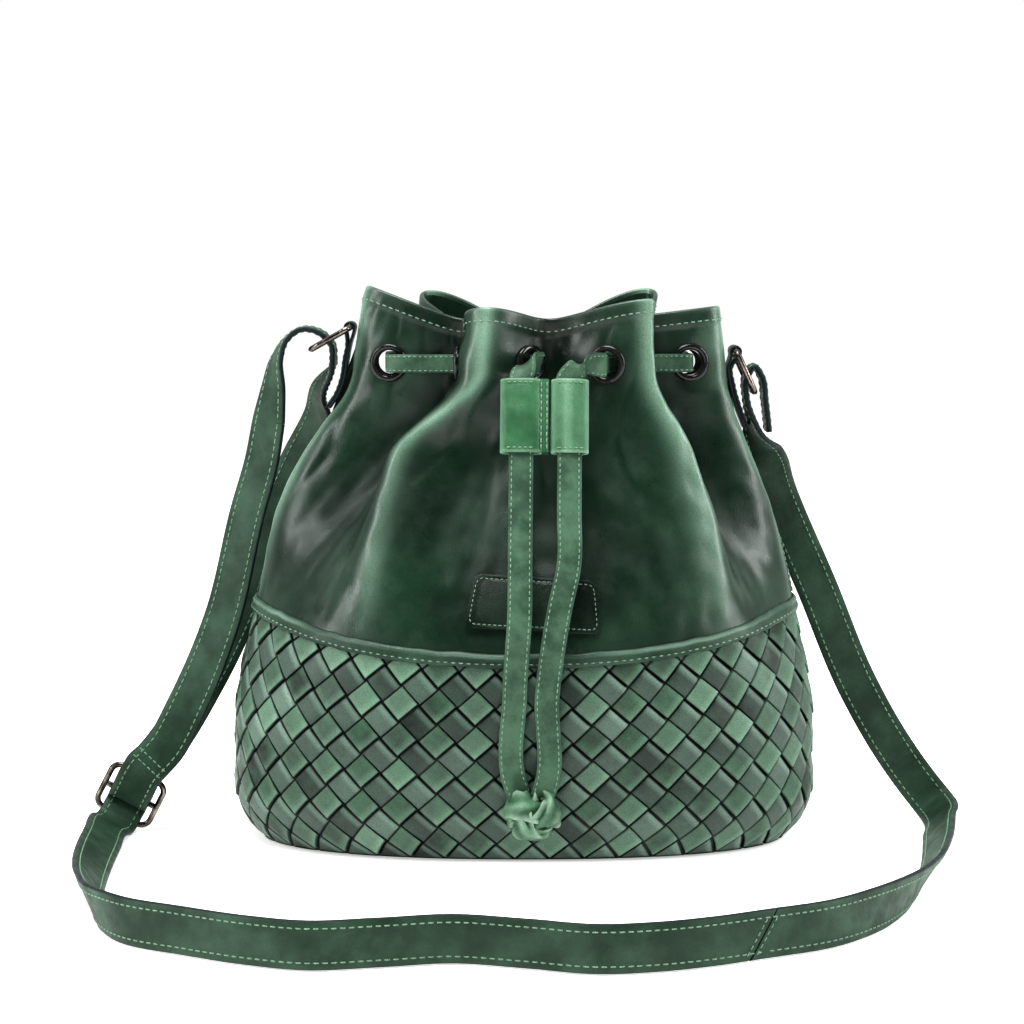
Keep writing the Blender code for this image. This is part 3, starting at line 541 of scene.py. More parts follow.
@dataclass(frozen=True)
class Leather(Finish):
    """Grained leather, with painted shade in its folds and painted highlights on its ridges, rolls and edges.

    The base runs between deep and body by a cloudy noise, with a few paler random scuffs; the shade value at
    a point takes it towards deep as painted shade, the highlight value towards the pale colour used for rubs
    and highlights, mostly as painted highlight with a little real rubbing, and 'edge', over edge_from,
    towards burnish.
    """

    deep: Point = (0.006, 0.018, 0.011)
    body: Point = (0.030, 0.068, 0.042)
    rub_and_highlight: Point = (0.20, 0.30, 0.235)
    burnish: Point = (0.006, 0.013, 0.011)
    cloud: float = 26
    clouds: tuple[float, float] = (0.33, 0.68)
    rough: tuple[float, float] = (0.30, 0.52)
    grain: float = 850
    grain_depth: float = 0.035 * MM
    crease: float = 150
    crease_depth: float = 0.13 * MM
    scuff: float = 0.06
    gloss: float = 0.34
    uses: tuple[str, ...] = ()
    edge_from: float = 0.9
    coat: float = 0.0

    def dress(self, shader: Shader) -> None:
        """Colour, sheen and grain of the leather."""
        cloud = shader.noise(self.cloud, 5, 0.6)
        color = shader.mix(shader.span(cloud, *self.clouds), self.deep, self.body)
        scuff = shader.span(shader.noise(self.cloud * 7, 6, 0.7), 0.52, 0.78, 0, self.scuff)
        color = shader.mix(scuff, color, self.rub_and_highlight)
        grain = shader.cells(self.grain)
        if "tone" in self.uses:
            color = shader.mix(shader.value("tone"), color, self.rub_and_highlight)
        # painted highlight: the highlight value, broken by the cloud noise, takes the colour towards the pale
        # one, with a little real rubbing
        if "wear" in self.uses:
            patchy = shader.math("MULTIPLY", shader.value("wear"), shader.span(cloud, 0.2, 0.7, 0.78, 1))
            color = shader.mix(patchy, color, self.rub_and_highlight)
        if "shade" in self.uses:
            color = shader.mix(shader.value("shade"), color, self.deep)
        if "edge" in self.uses:
            color = shader.mix(shader.span(shader.value("edge"), self.edge_from, self.edge_from + 0.06),
                               color, self.burnish)
        crevice = shader.span(grain, 0.0, 0.18, 0.22, 0)
        color = shader.mix(crevice, color, self.deep)
        shader.join(color, shader.surface.inputs["Base Color"])
        sheen = shader.span(shader.noise(self.cloud * 3, 4, 0.6), 0.3, 0.7, *self.rough)
        shader.join(sheen, shader.surface.inputs["Roughness"])
        shader.set(Coat_Weight=self.coat, Coat_Roughness=0.3, Specular_IOR_Level=self.gloss)
        shader.bump(shader.noise(self.crease, 7, 0.62), self.crease_depth)
        shader.bump(shader.span(grain, 0.0, 0.22), self.grain_depth)


@dataclass(frozen=True)
class Cloth(Finish):
    """Plain woven lining cloth: two sets of fine threads."""

    dark: Point = (0.05, 0.047, 0.038)
    light: Point = (0.16, 0.148, 0.12)
    threads: float = 900

    def dress(self, shader: Shader) -> None:
        """Colour and thread relief of the cloth."""
        weft = shader.nodes.new("ShaderNodeTexWave")
        weft.bands_direction = "Z"
        warp = shader.nodes.new("ShaderNodeTexWave")
        warp.bands_direction = "X"
        for wave in (weft, warp):
            wave.inputs["Scale"].default_value = self.threads / 20
            wave.inputs["Distortion"].default_value = 0.6
            shader.join(shader.place, wave.inputs["Vector"])
        weave = shader.math("MAXIMUM", weft.outputs["Fac"], warp.outputs["Fac"])
        cloud = shader.span(shader.noise(40, 5), 0.3, 0.7)
        color = shader.mix(shader.math("MULTIPLY", weave, cloud), self.dark, self.light)
        shader.join(color, shader.surface.inputs["Base Color"])
        shader.set(Roughness=0.92, Sheen_Weight=0.3)
        shader.bump(weave, 0.25 * MM)


@dataclass(frozen=True)
class Board(Finish):
    """Pressed fibre board."""

    dark: Point = (0.12, 0.09, 0.06)
    light: Point = (0.28, 0.22, 0.15)

    def dress(self, shader: Shader) -> None:
        """Mottled fibres."""
        fibre = shader.noise(500, 8, 0.7, (1, 4, 1))
        shader.join(shader.mix(shader.span(fibre, 0.3, 0.7), self.dark, self.light),
                    shader.surface.inputs["Base Color"])
        shader.set(Roughness=0.85)
        shader.bump(fibre, 0.2 * MM)


@dataclass(frozen=True)
class Metal(Finish):
    """Cast and plated metal with a little unevenness and dulling."""

    dark: Point = (0.05, 0.045, 0.042)
    light: Point = (0.30, 0.26, 0.23)
    metallic: float = 1.0
    rough: tuple[float, float] = (0.16, 0.34)

    def dress(self, shader: Shader) -> None:
        """Tone, gloss and small dents."""
        cloud = shader.noise(160, 4)
        shader.join(shader.mix(shader.span(cloud, 0.3, 0.7), self.dark, self.light),
                    shader.surface.inputs["Base Color"])
        sheen = shader.span(shader.noise(420, 5), 0.3, 0.7, *self.rough)
        shader.join(sheen, shader.surface.inputs["Roughness"])
        shader.set(Metallic=self.metallic)
        shader.bump(shader.noise(300, 3), 0.05 * MM)


@dataclass(frozen=True)
class Twist(Finish):
    """Waxed sewing thread with a fine twist."""

    dark: Point = (0.09, 0.17, 0.11)
    light: Point = (0.27, 0.42, 0.30)

    def dress(self, shader: Shader) -> None:
        """Colour and twist."""
        fibre = shader.noise(2600, 3, 0.6)
        shader.join(shader.mix(shader.span(fibre, 0.35, 0.65), self.dark, self.light),
                    shader.surface.inputs["Base Color"])
        shader.set(Roughness=0.6)
        shader.bump(fibre, 0.1 * MM)


SMOOTH = Leather("leather_smooth", Slot.SMOOTH, uses=("wear", "shade"), deep=(0.0025, 0.012, 0.006),
                 body=(0.018, 0.060, 0.031), rub_and_highlight=(0.26, 0.41, 0.31), rough=(0.27, 0.40), coat=0.1,
                 clouds=(0.15, 0.85), scuff=0.03, grain_depth=0.018 * MM, crease_depth=0.09 * MM, gloss=0.5)
BAND = Leather("leather_band", Slot.SMOOTH, deep=(0.012, 0.034, 0.020), body=(0.045, 0.095, 0.062),
               rub_and_highlight=(0.33, 0.48, 0.38), uses=("wear", "shade"), rough=(0.28, 0.44))
PATCH = Leather("leather_patch", Slot.SMOOTH, deep=(0.003, 0.010, 0.005), body=(0.014, 0.036, 0.020),
                uses=("edge",), edge_from=0.95)
WOVEN = Leather("leather_woven", Slot.WOVEN, deep=(0.0006, 0.0016, 0.001), body=(0.026, 0.083, 0.042),
                rub_and_highlight=(0.22, 0.36, 0.26), uses=("tone", "shade"), cloud=60, rough=(0.34, 0.52))
WOVEN_DULL = Leather("leather_woven_dull", Slot.WOVEN, deep=(0.0006, 0.0014, 0.001),
                     body=(0.022, 0.047, 0.030), rub_and_highlight=(0.21, 0.31, 0.25), uses=("tone", "shade"),
                     cloud=60, rough=(0.32, 0.50))
# near-black: painted shade standing for the dark gaps between the woven strips
BACKING = Leather("leather_backing", Slot.WOVEN, deep=(0.0005, 0.001, 0.0007), body=(0.002, 0.004, 0.003))
STRAP = Leather("leather_strap", Slot.STRAP, deep=(0.015, 0.040, 0.022), body=(0.042, 0.090, 0.056),
                rub_and_highlight=(0.15, 0.22, 0.18), burnish=(0.006, 0.011, 0.018), uses=("edge",), edge_from=0.93,
                cloud=45, rough=(0.42, 0.6), gloss=0.3)
LACE = Leather("leather_lace", Slot.LACE, deep=(0.030, 0.070, 0.042), body=(0.085, 0.165, 0.105),
               rub_and_highlight=(0.24, 0.37, 0.27), burnish=(0.02, 0.04, 0.03), uses=("edge",), edge_from=0.94,
               cloud=70, rough=(0.42, 0.6), gloss=0.3)
# the knot's paler lace, which takes painted highlights and painted shade
LACE_KNOT = Leather("leather_lace_knot", Slot.LACE, deep=(0.026, 0.080, 0.040), body=(0.10, 0.215, 0.13),
                    rub_and_highlight=(0.42, 0.56, 0.44), uses=("wear", "shade"), cloud=90, rough=(0.4, 0.58),
                    crease=160, crease_depth=0.5 * MM)
STOPPER = Leather("leather_stopper", Slot.STOPPER, deep=(0.030, 0.105, 0.048), body=(0.060, 0.175, 0.085),
                  rub_and_highlight=(0.28, 0.43, 0.32), uses=("wear", "shade"), cloud=60,
                  crease_depth=0.08 * MM, rough=(0.28, 0.45))
CLOTH = Cloth("cloth_lining", Slot.LINING)
BOARD = Board("board_fibre", Slot.BOARD)
EYELET = Metal("enamel_black", Slot.EYELET, dark=(0.006, 0.007, 0.007), light=(0.02, 0.022, 0.021),
               metallic=0.0, rough=(0.08, 0.2))
NICKEL = Metal("nickel_dark", Slot.NICKEL)
THREAD = Twist("thread_pale_green", Slot.SMOOTH)


# The bag's wall


@dataclass(frozen=True)
class Wall:
    """The bag's wall as one surface: a superellipse whose size changes with height, pleated at the mouth."""

    half_width: float = 146 * MM
    half_depth: float = 86 * MM
    height: float = 270 * MM
    oval_power: float = 2.3
    plan_shift: float = 9 * MM
    knots: tuple[float, ...] = (0.0, 0.03, 0.18, 0.45, 0.63, 0.76, 0.84, 0.91, 1.03)
    widths: tuple[float, ...] = (0.895, 0.95, 1.0, 0.925, 0.845, 0.735, 0.66, 0.638, 0.6)
    depths: tuple[float, ...] = (0.79, 0.855, 1.0, 0.98, 0.84, 0.69, 0.61, 0.57, 0.545)
    shifts: tuple[float, ...] = (0.0, 0.0, 0.0, 0.05, 0.15, 0.3, 0.68, 0.75, 1.0)
    ridges: tuple[float, ...] = (-8, 55, 127, 188, 256, 303)
    ridge_rise: tuple[float, ...] = (-2 * MM, 6 * MM, 5 * MM, 8 * MM, -2 * MM, 2 * MM)
    valley_rise: tuple[float, ...] = (-8 * MM, -16 * MM, -6 * MM, -8 * MM, -8 * MM, -7 * MM)
    flare: tuple[float, ...] = (0, 4, 3, 0, -18, 10)  # degrees each ridge turns below the eyelets
    flare_top: float = 238 * MM
    flare_drop: float = 42 * MM
    pleat_depth: float = 0.40
    pleat_foot: float = 0.385
    pleat_full: float = 0.86
    pleat_onset: float = 0.85
    valleys: tuple[float, ...] = (0.5, 0.5, 0.5, 0.60, 0.36, 0.40)  # share of each pleat's way to its valley
    eyelet_z: float = 240 * MM
    eyelet_flat: float = 12 * MM  # reach of the flat that each eyelet presses into the leather
    band_low: float = 101 * MM
    band_rise: float = 19 * MM

    def ridge_places(self, height: Array) -> Array:
        """Angle in degrees of the six ridges, and the first again after a turn, at each height."""
        share = ease((self.flare_top - height) / self.flare_drop)[..., None]
        places = np.array(self.ridges) + np.array(self.flare) * share
        return np.concatenate([places, places[..., :1] + 360], -1)

    def pleat(self, angle: Array, height: Array) -> tuple[Array, Array]:
        """The pleat that a place lies in, and its phase: 0 on a ridge and pi in the valley after it."""
        places = self.ridge_places(height)
        turned = (np.degrees(angle) - places[..., 0]) % 360 + places[..., 0]
        pleat = np.clip((turned[..., None] >= places).sum(-1) - 1, 0, len(self.ridges) - 1)
        low = np.take_along_axis(places, pleat[..., None], -1)[..., 0]
        high = np.take_along_axis(places, pleat[..., None] + 1, -1)[..., 0]
        way, valley = (turned - low) / (high - low), np.array(self.valleys)[pleat]
        return pleat, math.pi * np.where(way < valley, way / valley, 1 + (way - valley) / (1 - valley))

    def rim(self, angle: Array) -> Array:
        """Height of the rim: it rises on each ridge and dips in each valley."""
        angle = np.asarray(angle, float)
        pleat, phase = self.pleat(angle, np.full(angle.shape, self.height))
        ridge = np.array(self.ridge_rise + self.ridge_rise[:1])
        valley = np.array(self.valley_rise)[pleat]
        near = np.where(phase < math.pi, ridge[pleat], ridge[pleat + 1])
        return self.height + valley + (near - valley) * (1 + np.cos(phase)) / 2

    def pleating(self, height: Array) -> Array:
        """Share of the radius lost in a valley: none below the pleats' foot, all of it at the eyelets."""
        share = ease((height / self.height - self.pleat_foot) / (self.pleat_full - self.pleat_foot))
        return self.pleat_depth * share**self.pleat_onset

    def plain_point(self, angle: Array, height: Array) -> Array:
        """Point of the wall before the eyelets press it flat.

        Across is half_width times the signed cosine to the power 2 / oval_power, and along is
        half_depth times the signed sine to the same power; both are drawn in by the pleats.
        """
        angle, height = np.broadcast_arrays(np.asarray(angle, float), np.asarray(height, float))
        share = height / self.height
        width, depth, shift = (
            smooth_through(self.knots, values, share) for values in (self.widths, self.depths, self.shifts)
        )
        _, phase = self.pleat(angle, height)
        drawn = 1 - self.pleating(height) * (1 - np.cos(phase)) / 2
        power = 2 / self.oval_power
        across, along = np.cos(angle), np.sin(angle)
        x = self.half_width * width * drawn * np.sign(across) * np.abs(across) ** power
        y = self.half_depth * depth * drawn * np.sign(along) * np.abs(along) ** power
        return np.stack([x + self.plan_shift * shift, y, height], -1)

    def level_normal(self, angle: Array, height: Array) -> Array:
        """Outward normal of the wall's outline at one height, level with the floor."""
        step = 0.004
        turn = self.plain_point(angle + step, height) - self.plain_point(angle - step, height)
        return unit(np.stack([turn[..., 1], -turn[..., 0], np.zeros_like(turn[..., 0])], -1))

    def laid(self, angle: Array, height: Array, distance: Array | float) -> Array:
        """Point at a distance outside the wall; below 0 is inside it."""
        normal = self.level_normal(angle, height)
        return self.plain_point(angle, height) + normal * np.asarray(distance)[..., None]

    def eyelet_angles(self) -> Array:
        """The eyelets stand halfway down both flanks of every valley, in order round the bag."""
        places = np.array(self.ridges + (self.ridges[0] + 360,), float)
        shares = np.array([0.25, 0.75])
        return np.radians((places[:-1, None] + shares * np.diff(places)[:, None]).reshape(-1))

    def eyelet_frames(self) -> tuple[Array, Array]:
        """Middle and outward normal of each eyelet."""
        angles = self.eyelet_angles()
        heights = np.full(angles.shape, self.eyelet_z)
        return self.plain_point(angles, heights), self.level_normal(angles, heights)

    def pressed(self, points: Array) -> Array:
        """The points with each eyelet's surroundings brought towards its flat face.

        A point at distance d from an eyelet's axis loses exp(-(d / reach)**4) of its distance from
        the eyelet's plane.
        """
        for middle, normal in zip(*self.eyelet_frames()):
            away = points - middle
            depth = (away * normal).sum(-1)
            radius = np.linalg.norm(away - depth[..., None] * normal, axis=-1)
            near = np.exp(-((radius / self.eyelet_flat) ** 4)) * (np.abs(depth) < 9 * MM)
            points = points - (near * depth)[..., None] * normal
        return points

    def band(self, angle: Array) -> Array:
        """Height of the seam between the woven half and the smooth half, lowest at front and back."""
        return self.band_low + self.band_rise * np.cos(angle) ** 2

    def side_x(self, height: float, side: int) -> float:
        """Furthest reach of the wall to one side at one height."""
        angles = np.linspace(0, TURN, 361)
        return side * (side * self.plain_point(angles, np.full(361, height))[:, 0]).max()

    def near(self, angle: float, height: float, across: Array, up: Array, distance: Array | float) -> Array:
        """Point laid on the wall at a sideways and an upward distance from a place on it."""
        step = 0.01
        turn = np.linalg.norm(self.plain_point(angle + step, height) - self.plain_point(angle - step, height))
        rise = np.linalg.norm(self.plain_point(angle, height + MM) - self.plain_point(angle, height - MM))
        return self.laid(angle + across * 2 * step / turn, height + up * 2 * MM / rise,
                         np.broadcast_to(distance, np.shape(across)))


WALL = Wall()


@dataclass(frozen=True)
class UpperPanels:
    """The smooth upper half: a front and a back panel with a turned rim, gathered into folds."""

    columns: int = 340
    outer_rows: int = 120
    rim_rows: int = 7
    inner_rows: int = 24
    wall: float = 1.3 * MM
    rim_thickness: float = 2.4 * MM
    rim_reach: float = 9 * MM
    crumple: float = 1.0 * MM
    crease: float = 0.45 * MM
    seam_gap: float = 0.25 * MM
    hole: float = 7.1 * MM

    def relief(self, angle: Array, height: Array) -> Array:
        """How far the outer face stands out: broad crumples, and sharp creases beside the folds.

        Broad crumples are a ripple taller than it is wide; creases are narrow troughs along the
        zero lines of a second ripple, deeper towards the gathers.
        """
        share = height / WALL.height
        calm = ease((height - WALL.band(angle)) / (14 * MM)) * ease((WALL.rim(angle) - height) / (10 * MM))
        broad = ripple(angle, share, (0.55, 0.42), 14, 11) * (0.5 + 1.2 * ease((share - 0.45) / 0.3))
        lines = ripple(angle, share, (0.42, 0.5), 10, 5)
        crease = -np.exp(-((lines / 0.22) ** 2)) * ease((share - 0.5) / 0.25)
        fine = ripple(angle, share, (0.10, 0.09), 16, 3)
        return calm * (self.crumple * broad + self.crease * crease + 0.16 * MM * fine)

    def grid(self, front: bool) -> tuple[Array, dict[str, Array]]:
        """Closed section carried round half the bag: up the outside, over the rim, down the inside."""
        start = math.pi if front else 0.0
        angles = np.linspace(start, start + math.pi, self.columns)
        gap = self.seam_gap / WALL.half_depth
        angles = start + gap + (angles - start) * (1 - 2 * gap / math.pi)
        low, top = WALL.band(angles) + self.seam_gap, WALL.rim(angles)
        up = np.linspace(0, 1, self.outer_rows)[:, None]
        down = np.linspace(1, 0, self.inner_rows)[:, None]
        arc = np.linspace(0, math.pi, self.rim_rows + 2)[1:-1, None]
        bead = self.rim_thickness / 2
        heights = np.concatenate([
            low + (top - bead - low) * up,
            top - bead + bead * np.sin(arc) + 0 * angles,
            low + (top - bead - low) * down,
        ])
        spread = np.broadcast_to(angles, heights.shape)
        swell = ease((self.rim_reach - (top - heights)) / (2 * MM)) * (self.rim_thickness - self.wall) / 2
        relief = self.relief(spread, heights)
        middle = -self.wall / 2
        outer = relief + swell
        inner = relief * 0.6 - self.wall - swell
        distance = np.concatenate([
            outer[: self.outer_rows],
            middle + bead * np.cos(arc) + relief[self.outer_rows: -self.inner_rows],
            inner[-self.inner_rows:],
        ])
        points = WALL.pressed(WALL.laid(spread, heights, distance))
        _, phase = WALL.pleat(spread, heights)
        fold = WALL.pleating(heights) / WALL.pleat_depth
        # painted highlights along the ridges and on raised crumples, and the rim's top paler too; painted
        # shade down the valleys and in crumple hollows
        wear = fold**0.6 * np.clip(np.cos(phase), 0, 1) ** 13 * 0.72
        wear = wear + 0.2 * ease(1 - (top - heights) / (3 * MM))
        wear = wear + 0.22 * np.clip(relief / self.crumple - 0.3, 0, 1)
        shade = fold**0.6 * ((1 - np.cos(phase)) / 2) ** 1.2 * 0.95
        shade = shade + 0.3 * np.clip(-relief / self.crumple - 0.3, 0, 1)
        return points, {"wear": np.clip(wear, 0, 1), "shade": np.clip(shade, 0, 1)}

    def hole_cutter(self) -> bpy.types.Object:
        """Twelve short cylinders, one through each eyelet."""
        turn = np.linspace(0, TURN, 40, endpoint=False)
        plugs = []
        for middle, normal in zip(*WALL.eyelet_frames()):
            side = np.cross(normal, (0, 0, 1))
            ring = self.hole * (np.cos(turn)[:, None] * side + np.sin(turn)[:, None] * (0, 0, 1))
            ends = [middle + ring + normal * reach for reach in (-9 * MM, 9 * MM)]
            plugs.append(Surface.loft(np.stack(ends)))
        joined = Surface.joined(plugs)
        mesh = bpy.data.meshes.new("eyelet_holes")
        mesh.from_pydata(joined.points.tolist(), [], joined.faces)
        work = bmesh.new()
        work.from_mesh(mesh)
        bmesh.ops.recalc_face_normals(work, faces=work.faces)
        work.to_mesh(mesh)
        work.free()
        made = bpy.data.objects.new("eyelet_holes", mesh)
        bpy.context.collection.objects.link(made)
        return made

    def build(self) -> None:
        """The two panels, cut through at the eyelets, and the topstitch under their rim."""
        cutter = self.hole_cutter()
        for side, front in (("front", True), ("back", False)):
            points, values = self.grid(front)
            grid = points.transpose(1, 0, 2)
            turned = {key: value.T for key, value in values.items()}
            made = Surface.loft(grid, **turned).add(
                f"gathered_{side}", SMOOTH, Body.BAG, f"upper_{side}_panel", sharp=70
            )
            pierce(made, cutter)
            line = self.stitch_line(front)
            Thread(length=2.4 * MM, pitch=3.6 * MM, radius=0.34 * MM).seam(*line).add(
                f"rim_stitches_{side}", THREAD, Body.BAG
            )
        bpy.data.objects.remove(cutter)

    def stitch_line(self, front: bool) -> tuple[Array, Array]:
        """The line of the topstitch below the rim, and its outward direction."""
        start = math.pi if front else 0.0
        angles = np.linspace(start + 0.03, start + math.pi - 0.03, 900)
        heights = WALL.rim(angles) - 6.5 * MM
        relief = self.relief(angles, heights) + (self.rim_thickness - self.wall) / 2
        return WALL.pressed(WALL.laid(angles, heights, relief)), WALL.level_normal(angles, heights)


def pierce(target: bpy.types.Object, cutter: bpy.types.Object) -> None:
    """Cuts the cutter's bodies out of the target and leaves no modifier on it."""
    step = target.modifiers.new("holes", "BOOLEAN")
    step.operation = "DIFFERENCE"
    step.object = cutter
    step.solver = "MANIFOLD"
    graph = bpy.context.evaluated_depsgraph_get()
    mesh = bpy.data.meshes.new_from_object(target.evaluated_get(graph), preserve_all_data_layers=True,
                                           depsgraph=graph)
    target.modifiers.remove(step)
    old = target.data
    target.data = mesh
    name = old.name
    bpy.data.meshes.remove(old)
    mesh.name = name


@dataclass(frozen=True)
class Weave:
    """The woven lower half: two sets of flat strips, each passing over and under the other.

    In units of one diagonal cell, x runs round the bag and y up it, and both bend with the band above.
    A left-leaning strip number k holds x + y = k, a right-leaning strip number m holds x - y = m, and
    the right-leaning one is outside where k + m is even. The left-leaning tiles are lifted at their
    lower end, so that each of their rows overhangs the row below it.
    """

    around: int = 41
    rows: float = 5.85  # cells between the base and the band
    low: float = 1.2 * MM
    half: float = 0.478  # half a strip's width, in cells
    thickness: float = 1.0 * MM
    sunk: float = -1.35 * MM  # a strip's outer face where it passes under
    lifted: float = 1.0 * MM  # and at the lifted end of a left-leaning tile
    round_edge: float = 0.28 * MM
    backing: float = 2.6 * MM
    along: tuple[float, ...] = (
        -0.5, -0.475, -0.45, -0.42, -0.38, -0.3, -0.1, 0.1, 0.3, 0.38, 0.42, 0.45, 0.475
    )
    across: tuple[float, ...] = (-1, -0.96, -0.86, -0.4, 0.4, 0.86, 0.96, 1, 1, -1)

    def ruler(self) -> tuple[Array, Array]:
        """Angles, and the even share of the way round at each."""
        angles = np.linspace(0, TURN, 2881)
        outline = WALL.plain_point(angles, np.full(angles.shape, 60 * MM))
        way = np.concatenate([[0], np.cumsum(np.linalg.norm(np.diff(outline, axis=0), axis=1))])
        return angles, way / way[-1]

    def outer_face(self, tile: Array, covers: Array, leans_left: bool) -> Array:
        """Distance of a strip's outer face from the wall, by its place along a tile of -0.5 to 0.5.

        A tile that covers its partner rises out of the sunk level at its lower end and goes back to it at
        its upper one. A left-leaning tile comes down steeply at its lifted lower end; a right-leaning one
        is level, and bends down slowly over its last fifth.
        """
        if leans_left:
            level = self.lifted * (0.42 - tile) - 0.12 * MM
            out = ease((tile + 0.475) / 0.05) * ease((0.50 - tile) / 0.07)
        else:
            level = 0 * tile
            out = ease((tile + 0.5) / 0.06) * ease((0.56 - tile) / 0.30)
        return np.where(covers, self.sunk + (level - self.sunk) * out, self.sunk)

    def strips(self, leans_left: bool) -> Surface:
        """All the strips of one direction, each a closed flat section carried from the base to the band."""
        angles, share = self.ruler()
        lean = -1 if leans_left else 1
        ends = int(2 * self.rows) + 2
        steps = (np.arange(-1, ends)[:, None] + np.array(self.along)[None]).reshape(-1)[None, :, None]
        across = np.array(self.across)[None, None]
        top = np.array([1.0] * 8 + [0.0] * 2)[None, None]
        number = np.arange(self.around)[:, None, None]
        width = across * self.half
        y = np.clip((steps - lean * width) / 2, 0, self.rows)
        x = number + width + lean * y
        angle = np.interp((x % self.around) / self.around, share, angles)
        height = self.low + (WALL.band(angle) - self.low) * y / self.rows
        passed = np.round(steps + 0 * y).astype(int)
        tile = steps - passed + 0 * y
        covers = (passed + (1 if leans_left else 0)) % 2 == 0
        face = self.outer_face(tile, covers, leans_left)
        edge = np.abs(across)
        bulge = 0.12 * MM * (1 - edge**2) * (1 - 4 * tile**2)
        rounding = self.round_edge * top * ease((edge - 0.84) / 0.16)
        distance = face + top * bulge - rounding - (1 - top) * self.thickness
        chance = np.random.default_rng(7 if leans_left else 8)
        uneven = 0.22 * MM * (chance.uniform(-1, 1, (self.around, 4 * self.around)))
        strip_tone = chance.uniform(0.0, 0.26, (self.around, 1, 1))
        cell_tone = chance.uniform(0.0, 0.60, (self.around, 4 * self.around)) ** 1.7
        index = np.broadcast_to((passed + 2) % (4 * self.around), y.shape)
        pick = [
            np.take_along_axis(table[:, None].repeat(y.shape[1], 1), index, 2)
            for table in (uneven, cell_tone)
        ]
        points = WALL.laid(angle, height, distance + pick[0] * top * covers)
        # paler at the lifted lower end and edges of left-leaning tiles, and over the upper part of
        # right-leaning tiles
        tile_paling = ease((tile - 0.16) / 0.12) * ease((0.44 - tile) / 0.06) * 0.42 if not leans_left else (
            0.30 * ease((-0.22 - tile) / 0.12) + 0.16 * ease((edge - 0.8) / 0.1))
        tone = np.clip((strip_tone + pick[1] + tile_paling) * covers, 0, 1)
        # painted shadows: dark lines where a tile slips under an overhanging edge or dives under its partner,
        # and full painted shade over every stretch that passes underneath
        if leans_left:
            shade = np.maximum(ease((-0.40 - tile) / 0.035), 0.55 * ease((tile - 0.455) / 0.03))
        else:
            shade = np.maximum(ease((tile - 0.385) / 0.035), 0.5 * ease((-0.465 - tile) / 0.02))
        shade = np.where(covers, np.maximum(shade, 0.5 * ease((edge - 0.93) / 0.07)), 1.0) + 0 * x
        parts = [Surface.loft(points[k], tone=tone[k], shade=shade[k]) for k in range(self.around)]
        return Surface.joined(parts)

    def build(self) -> None:
        """Both sets of strips and the near-black wall that they lie on, a painted shade for the gaps between
        them.
        """
        self.strips(True).add("woven_strips_left", WOVEN, Body.BAG, "woven_front_panel", sharp=40)
        self.strips(False).add("woven_strips_right", WOVEN_DULL, Body.BAG, "woven_back_panel", sharp=40)
        angles = np.linspace(0, TURN, 240, endpoint=False)
        rows = np.linspace(0, 1, 16)[:, None]
        heights = self.low + (WALL.band(angles) + 2 * MM - self.low) * rows
        spread = np.broadcast_to(angles, heights.shape)
        outer = WALL.laid(spread, heights, self.sunk - self.thickness - 0.1 * MM)
        inner = WALL.laid(spread, heights, -self.backing - 0.3 * MM)
        Surface.loft(np.concatenate([outer, inner[::-1]]), closed_rows=True).add(
            "weave_backing", BACKING, Body.BAG
        )


@dataclass(frozen=True)
class SeamBand:
    """The rolled strip over the seam between the halves, with a line of stitches along its lower part."""

    width: float = 7 * MM
    rise: float = 1.9 * MM
    seat: float = 0.25 * MM
    columns: int = 420

    def build(self) -> None:
        """One band round the bag, and its stitches."""
        angles = np.linspace(0, TURN, self.columns, endpoint=False)
        turn = np.linspace(0, TURN, 22, endpoint=False)[:, None]
        across = np.sign(np.cos(turn)) * np.abs(np.cos(turn)) ** 0.8 * self.width / 2
        out = np.sign(np.sin(turn)) * np.abs(np.sin(turn)) ** 0.8
        groove = 0.7 * MM * np.exp(-(((across - 0.4 * MM) / (0.45 * MM)) ** 2))
        distance = self.seat + np.where(out > 0, out * self.rise - groove * out, out * self.seat)
        wave = 0.25 * MM * ripple(angles * 8, angles * 3, (1.2, 0.7), 9, 21)
        heights = WALL.band(angles) + across + wave
        spread = np.broadcast_to(angles, heights.shape)
        fine_relief = 0.12 * MM * ripple(spread * 20, heights * 900, (1, 2), 9, 4)
        points = WALL.laid(spread, heights, distance + fine_relief)
        # painted highlight along the roll's crown, broken by a ripple; painted shade in the groove and all
        # over the roll's underside
        wear = 0.42 * np.exp(-(((across - 2.0 * MM) / (1.0 * MM)) ** 2)) * (out > 0.2) + 0 * heights
        wear = wear * np.clip(0.75 + 0.5 * ripple(spread, heights * 0, (0.5, 1), 8, 22), 0, 1.4)
        shade = 0.8 * np.exp(-(((across - 0.4 * MM) / (0.35 * MM)) ** 2)) + 1.0 * (out < 0.25) + 0 * heights
        Surface.loft(points, closed_rows=True, wear=wear, shade=np.clip(shade, 0, 1)).add(
            "seam_band_rolled", BAND, Body.BAG, "seam_band_front", "seam_band_back"
        )
        fine = np.linspace(0, TURN, 2400)
        heights = WALL.band(fine) - 1.5 * MM
        line = WALL.laid(fine, heights, np.full(fine.shape, self.seat + self.rise - 0.35 * MM))
        normals = WALL.level_normal(fine, heights)
        Thread(length=2.4 * MM, pitch=3.7 * MM, radius=0.4 * MM).seam(line, normals).add(
            "seam_band_stitches", THREAD, Body.BAG
        )


